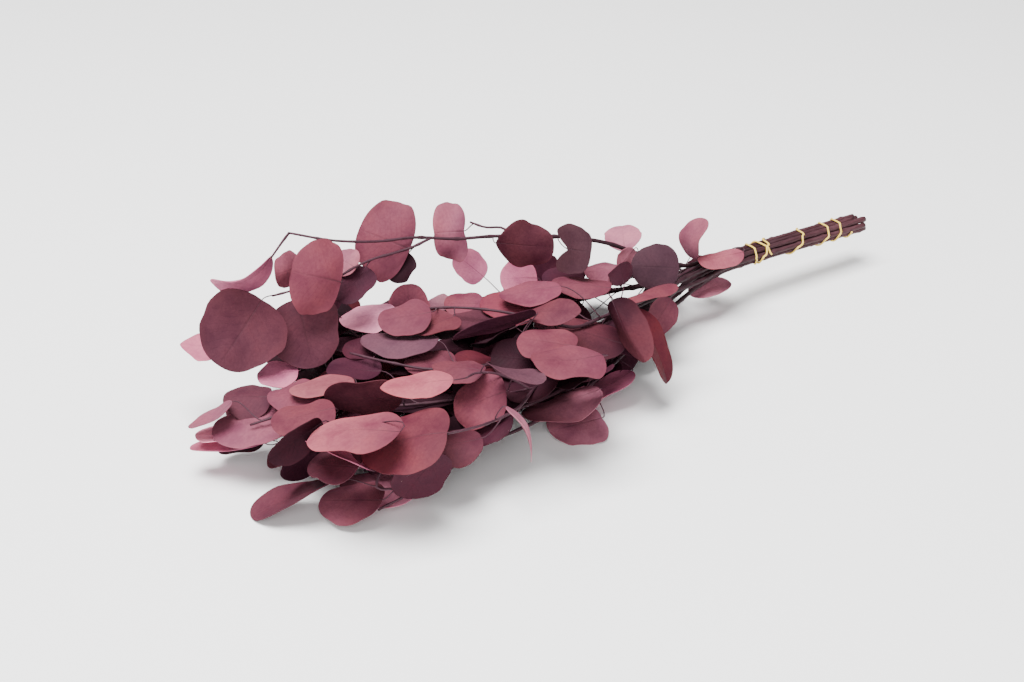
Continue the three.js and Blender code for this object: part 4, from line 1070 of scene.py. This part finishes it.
def grow_stem(stem, lines, leaves, inner):
    """The leaves of one leafy stem as one piece, and its wood as another."""
    draw = random.Random(SEED + stem)
    sheets, wood = new_mesh(), new_mesh()
    for blade, way in leaves:
        own = uneven(blade, draw)
        grow_blade(sheets, blade, own, draw)
        grow_stalk(wood, way, blade, own)
    forward = (lines[0][-1] - lines[0][-2]).normalized()
    for blade, root in inner:
        own = uneven(blade, draw)
        grow_blade(sheets, blade, own, draw, INNER_GRID)
        grow_stalk(wood, stalk_way(root, forward, blade), blade, own, INNER_RINGS)
    thicken(sheets)
    grow_wood(wood, lines[0], STEM_RADIUS, STEM_TIP_RADIUS, draw)
    for line in lines[1:]:
        grow_wood(wood, line, TWIG_RADIUS, STALK_RADIUS, draw)
    node = f"leafy_stem_{stem:02d}"
    finished(sheets, f"{node}_leaves", [UPPER_LEAF, UNDER_LEAF], [node])
    finished(wood, f"{node}_wood", [BARK, CUT_WOOD], [node])


def crossings(origin, tangent, lines):
    """Centres and radii of the stems where they pass a plane across the bundle."""
    found = []
    for line in lines:
        radii = taper(len(line), STEM_RADIUS, STEM_TIP_RADIUS)
        sides = [(point - origin).dot(tangent) for point in line]
        for i in range(len(line) - 1):
            if sides[i] <= 0 < sides[i + 1]:
                found.append((line[i].lerp(line[i + 1], sides[i] / (sides[i] - sides[i + 1])), radii[i]))
                break
    return found


def tie_turn(axis, start, end, lines):
    """The middle of the band over one turn round the bundle, between two stations of the axis."""
    tangent = (axis[-1] - axis[0]).normalized()
    side = Vector((0, 0, 1)).cross(tangent).normalized()
    lift = tangent.cross(side)
    line = []
    for i in range(TIE_STEPS):
        angle = 2 * math.pi * i / TIE_STEPS
        outward = side * math.cos(angle) + lift * math.sin(angle)
        station = start + (end - start) * i / TIE_STEPS
        origin = axis[math.floor(station)].lerp(axis[math.ceil(station)], station % 1)
        reaches = [((centre - origin).dot(outward) + radius, centre, radius)
                   for centre, radius in crossings(origin, tangent, lines)]
        _, centre, radius = max(reaches, key=lambda reach: reach[0])
        line.append(centre + outward * (radius * WOOD_FULLNESS + TIE_RADIUS))
    return line


def grow_tie(lines):
    """The elastic tie as one band, round the bundle from each mark to the next."""
    axis = smooth_line([sighted(mark) for mark in BUNDLE_AXIS], TIE_PITCH)
    stations = [next(i for i, point in enumerate(axis) if seen(point)[0] <= u) for u in TIE_MARKS]
    path = []
    for start, end in zip(stations, stations[1:]):
        path += tie_turn(axis, start, end, lines)
    fine = smooth_line(path, TIE_FINE_STEP)
    mesh = new_mesh()
    grow_rod(mesh, fine, [TIE_RADIUS] * len(fine), [Vector(linear(TIE_TINT))] * len(fine), TIE_SIDES)
    finished(mesh, "elastic_tie_band", [ELASTIC, ELASTIC], ["elastic_tie"])


def plug(tree, node, inputs):
    """Gives a node's sockets their values, or links them to the outputs of other nodes."""
    for socket, value in inputs.items():
        if isinstance(value, bpy.types.NodeSocket):
            tree.links.new(value, node.inputs[socket])
        else:
            node.inputs[socket].default_value = value


def add(tree, kind, inputs, **settings):
    """Adds a node to a material, with its settings and links, and hands back its outputs."""
    node = tree.nodes.new("ShaderNode" + kind)
    for name, value in settings.items():
        setattr(node, name, value)
    plug(tree, node, inputs)
    return node.outputs


def new_material(name):
    material = bpy.data.materials.new(name)
    material.use_nodes = True
    return material, material.node_tree, material.node_tree.nodes["Principled BSDF"]


def per_metre(size):
    """The scale of a pattern whose features are this many millimetres wide."""
    return 1 / (size * MM)


def layered(tree, base, layers):
    """Lays colours over a base, each in the share that a pattern gives it over its range."""
    for colour, spread in layers:
        share = add(tree, "MapRange", spread)[0]
        base = add(tree, "Mix", {0: share, 6: base, 7: colour}, data_type="RGBA")[2]
    return base


def leaf_veins(tree, along, across, cloud):
    """The rib, widest at the stalk, and the side veins that slant from it to the tip."""
    edge = add(tree, "MapRange", {"Value": across, "From Max": RIB_WIDTH, "To Min": 1, "To Max": 0})[0]
    rib_fade = add(tree, "MapRange", {"Value": along, "To Min": 1, "To Max": 0.3})[0]
    rib = add(tree, "Math", {0: edge, 1: rib_fade}, operation="MULTIPLY")[0]
    rise = add(tree, "Math", {0: along, 1: VEINS}, operation="MULTIPLY")[0]
    slant = add(tree, "Math", {0: across, 1: -VEIN_SLANT, 2: rise}, operation="MULTIPLY_ADD")[0]
    bent = add(tree, "Math", {0: cloud, 1: VEIN_WANDER, 2: slant}, operation="MULTIPLY_ADD")[0]
    phase = add(tree, "Math", {0: bent}, operation="FRACT")[0]
    offset = add(tree, "Math", {0: phase, 1: 0.5}, operation="SUBTRACT")[0]
    beside = add(tree, "Math", {0: offset}, operation="ABSOLUTE")[0]
    line = add(tree, "MapRange", {"Value": beside, "From Min": 0.43, "From Max": 0.5})[0]
    margin = {"From Min": 0.5, "From Max": 0.95, "To Min": 1, "To Max": 0}
    vein_fade = add(tree, "MapRange", {"Value": across, **margin})[0]
    return rib, add(tree, "Math", {0: line, 1: vein_fade}, operation="MULTIPLY")[0]


def leaf_dye(tree, along, across, cloud, fleck, rib, vein):
    """The dye: deep in some clouds, warm in others, paler at the margin. The blade darkens at its base."""
    tint = add(tree, "Attribute", {}, attribute_name="tint")["Color"]
    plain = {"Value": LEAF_VALUE, "Saturation": LEAF_SATURATION}
    base = add(tree, "HueSaturation", {"Color": tint, **plain})[0]
    deep = add(tree, "HueSaturation", {"Color": base, "Hue": 0.488, "Value": 0.62, "Saturation": 1.08})[0]
    warm = add(tree, "HueSaturation", {"Color": base, "Hue": 0.507, "Value": 1.22, "Saturation": 1.02})[0]
    rib_tint = add(tree, "HueSaturation", {"Color": base, "Value": 0.42, "Saturation": 0.9})[0]
    return layered(tree, base, (
        (deep, {"Value": cloud, "From Min": 0.5, "From Max": 0.3, "To Max": 0.85}),
        (warm, {"Value": cloud, "From Min": 0.5, "From Max": 0.72, "To Max": 0.8}),
        (deep, {"Value": fleck, "From Min": 0.35, "From Max": 0.62, "To Min": 0.3, "To Max": 0}),
        (deep, {"Value": vein, "To Max": 0.2}),
        (warm, {"Value": across, "From Min": 0.8, "From Max": 1, "To Max": 0.35}),
        (deep, {"Value": along, "From Min": 0.3, "From Max": 0, "To Max": 0.4}),
        (rib_tint, {"Value": rib, "To Max": 0.4}),
    ))


def leaf_relief(tree, parts):
    """The relief that a leaf's patterns add up to, each to its own depth."""
    height = 0
    for pattern, depth in parts:
        height = add(tree, "Math", {0: pattern, 1: depth, 2: height}, operation="MULTIPLY_ADD")[0]
    return add(tree, "Bump", {"Height": height, "Strength": 0.6, "Distance": 0.8 * MM})[0]


def leaf_material(name, rib_depth):
    """Preserved leaf: cured with glycerine and dye, so it is supple and satin, not papery.
    The eye sees a dull gloss, a thin darker rib, faint side veins, cloudy dye and a paler
    bloom that the dye takes unevenly. Its relief is the rib, which stands out underneath
    and is sunk above, the veins, a fine grain and slow buckling."""
    material, tree, shader = new_material(name)
    spots = add(tree, "TexCoord", {})
    leaf_map = add(tree, "SeparateXYZ", {0: spots["UV"]})
    along = leaf_map["X"]
    aside = add(tree, "Math", {0: leaf_map["Y"], 1: 2, 2: -1}, operation="MULTIPLY_ADD")[0]
    across = add(tree, "Math", {0: aside}, operation="ABSOLUTE")[0]
    clouds = {"Scale": per_metre(CLOUD_SIZE), "Detail": 5, "Roughness": 0.6}
    cloud = add(tree, "TexNoise", {"Vector": spots["Object"], **clouds})["Fac"]
    flecks = {"Scale": per_metre(FLECK_SIZE), "Detail": 3}
    fleck = add(tree, "TexNoise", {"Vector": spots["Object"], **flecks})["Fac"]
    rib, vein = leaf_veins(tree, along, across, cloud)
    relief = ((rib, rib_depth), (vein, VEIN_DEPTH * rib_depth), (fleck, GRAIN_DEPTH), (cloud, BUCKLE_DEPTH))
    gloss = {"From Min": 0.3, "From Max": 0.7, "To Min": 0.62, "To Max": 0.78}
    plug(tree, shader, {
        "Base Color": leaf_dye(tree, along, across, cloud, fleck, rib, vein),
        "Roughness": add(tree, "MapRange", {"Value": cloud, **gloss})[0],
        "Normal": leaf_relief(tree, relief),
        "IOR": 1.4,
        "Specular IOR Level": 0.15,
    })
    return material


def bark_material():
    """Dyed bark of young stems: thin and dried on the wood, so it is drawn into fine
    lengthwise wrinkles. They are 0.3 mm wide on the real stems and drawn 0.8 to 1.8 mm wide."""
    material, tree, shader = new_material("dyed stem bark")
    spots = add(tree, "TexCoord", {})
    stretch = (1 / (WRINKLE_LENGTH * MAP_PER_MM), WRINKLES, 1)
    lengthwise = add(tree, "Mapping", {"Vector": spots["UV"], "Scale": stretch})[0]
    fibre = add(tree, "TexNoise", {"Vector": lengthwise, "Scale": 1, "Detail": 4})["Fac"]
    patches = {"Scale": per_metre(PATCH_SIZE), "Detail": 3}
    patch = add(tree, "TexNoise", {"Vector": spots["Object"], **patches})["Fac"]
    tint = add(tree, "Attribute", {}, attribute_name="tint")["Color"]
    dark = add(tree, "HueSaturation", {"Color": tint, "Value": 0.5, "Saturation": 1.1})[0]
    pale = add(tree, "HueSaturation", {"Color": tint, "Value": 1.5, "Saturation": 0.9})[0]
    gloss = {"From Min": 0.3, "From Max": 0.7, "To Min": 0.5, "To Max": 0.72}
    plug(tree, shader, {
        "Base Color": layered(tree, tint, (
            (dark, {"Value": fibre, "From Min": 0.42, "From Max": 0.62, "To Max": 0.75}),
            (pale, {"Value": patch, "From Min": 0.5, "From Max": 0.75, "To Max": 0.6}),
        )),
        "Roughness": add(tree, "MapRange", {"Value": patch, **gloss})[0],
        "Normal": add(tree, "Bump", {"Height": fibre, "Strength": 0.7, "Distance": 0.5 * MM})[0],
        "Specular IOR Level": 0.2,
    })
    return material


def cut_wood_material():
    """The wood that a cut lays bare: pale and fibrous, stained by the dye. Its fibres are
    0.1 mm thick and drawn in bundles of about 1 mm, so that they show."""
    material, tree, shader = new_material("cut stem wood")
    spots = add(tree, "TexCoord", {})
    fibres = {"Scale": per_metre(FIBRE_SIZE), "Detail": 4}
    grain = add(tree, "TexNoise", {"Vector": spots["Object"], **fibres})["Fac"]
    stain = (linear("#5c3a3b"), {"Value": grain, "From Min": 0.35, "From Max": 0.65})
    plug(tree, shader, {
        "Base Color": layered(tree, linear("#936a62"), (stain,)),
        "Roughness": 0.85,
        "Normal": add(tree, "Bump", {"Height": grain, "Strength": 0.8, "Distance": 0.3 * MM})[0],
    })
    return material


def elastic_material():
    """Rubber thread, moulded and dusted: pale yellow, matt, finely ribbed across."""
    material, tree, shader = new_material("rubber tie")
    spots = add(tree, "TexCoord", {})
    waves = {"Vector": spots["UV"], "Scale": TIE_RIB_SCALE, "Distortion": 0.6}
    ribs = add(tree, "TexWave", waves, bands_direction="X")["Fac"]
    dusting = {"Scale": per_metre(DUST_SIZE), "Detail": 3}
    dust = add(tree, "TexNoise", {"Vector": spots["Object"], **dusting})["Fac"]
    tint = add(tree, "Attribute", {}, attribute_name="tint")["Color"]
    worn = add(tree, "HueSaturation", {"Color": tint, "Value": 0.8, "Saturation": 1.2})[0]
    wear = (worn, {"Value": dust, "From Min": 0.4, "From Max": 0.65, "To Max": 0.6})
    plug(tree, shader, {
        "Base Color": layered(tree, tint, (wear,)),
        "Roughness": 0.6,
        "Normal": add(tree, "Bump", {"Height": ribs, "Strength": 0.4, "Distance": 0.2 * MM})[0],
    })
    return material


def floor_material():
    """White coated board: matt, with a trace of unevenness."""
    material, tree, shader = new_material("white coated board")
    spots = add(tree, "TexCoord", {})
    hazes = {"Scale": per_metre(HAZE_SIZE), "Detail": 2}
    haze = add(tree, "TexNoise", {"Vector": spots["Object"], **hazes})["Fac"]
    plug(tree, shader, {
        "Base Color": layered(tree, linear("#fdfcfc"), ((linear("#fafafa"), {"Value": haze}),)),
        "Roughness": 0.9,
        "Specular IOR Level": 0.1,
    })
    return material


def place_floor():
    """The pale board under the bunch."""
    mesh = bmesh.new()
    squares = {"x_segments": FLOOR_SQUARES, "y_segments": FLOOR_SQUARES}
    bmesh.ops.create_grid(mesh, **squares, size=FLOOR_SIZE / 2)
    data = bpy.data.meshes.new("floor")
    mesh.to_mesh(data)
    mesh.free()
    data.materials.append(floor_material())
    floor = bpy.data.objects.new("floor", data)
    bpy.context.collection.objects.link(floor)
    floor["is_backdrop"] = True


def place_light(name, offset, size, power):
    """A square studio light that faces the bunch."""
    data = bpy.data.lights.new(name, "AREA")
    data.size = size
    data.energy = power
    light = bpy.data.objects.new(name, data)
    light.location = VIEW_TARGET * MM + Vector(offset)
    light.rotation_euler = Vector(offset).to_track_quat("Z", "Y").to_euler()
    bpy.context.collection.objects.link(light)


def place_camera():
    """The camera where the photographer stood."""
    data = bpy.data.cameras.new("camera")
    data.lens = LENS
    data.sensor_width = FILM_WIDTH
    data.sensor_fit = "HORIZONTAL"
    camera = bpy.data.objects.new("camera", data)
    camera.matrix_world = Matrix.Translation(EYE * MM) @ Matrix((RIGHT, UP, BACK)).transposed().to_4x4()
    bpy.context.collection.objects.link(camera)
    bpy.context.scene.camera = camera


def light_room():
    """The faint light that comes from all round."""
    world = bpy.data.worlds.new("studio")
    world.use_nodes = True
    background = world.node_tree.nodes["Background"]
    background.inputs["Color"].default_value = linear("#ffffff")
    background.inputs["Strength"].default_value = ROOM_LIGHT
    bpy.context.scene.world = world


def note_size():
    """Lays out the solids' box and the finished pieces' box as plain lists."""
    boxes = {"cad": cad_box, "visual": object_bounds()}
    plain = {name: [list(corner) for corner in box] for name, box in boxes.items()}


SCRATCH = bpy.data.meshes.new("scratch")
UPPER_LEAF = leaf_material("preserved leaf, upper side", SUNK_RIB)
UNDER_LEAF = leaf_material("preserved leaf, underside", RAISED_RIB)
BARK = bark_material()
CUT_WOOD = cut_wood_material()
ELASTIC = elastic_material()

stem_lines = {stem: [stem_line(stem)] for stem in STEMS}
for stem, route in TWIGS:
    start, *rest = map(sighted, route)
    root = nearest_on(stem_lines[stem][0], start)
    stem_lines[stem].append(smooth_line([root, *rest], TWIG_STEP))

leaves = {stem: placed_leaves(stem, lines, corner_tree(stem)) for stem, lines in stem_lines.items()}
every_blade = [blade for placed in leaves.values() for blade, _ in placed]
taken = [test_sheet(blade) for blade in every_blade]
screens = [screen(blade) for blade in every_blade if "name" in blade.row]
for stem, lines in stem_lines.items():
    inner = inner_blades(stem, lines[0], screens, taken) if stem in FILLER_STEMS else []
    grow_stem(stem, lines, leaves[stem], inner + painted_shade_gap_blades(stem, lines[0]))
grow_tie([lines[0] for lines in stem_lines.values()])
bpy.data.meshes.remove(SCRATCH)

place_floor()
place_light("key light", KEY_OFFSET, KEY_SIZE, KEY_POWER)
place_light("fill light", FILL_OFFSET, FILL_SIZE, FILL_POWER)
light_room()
place_camera()
note_size()
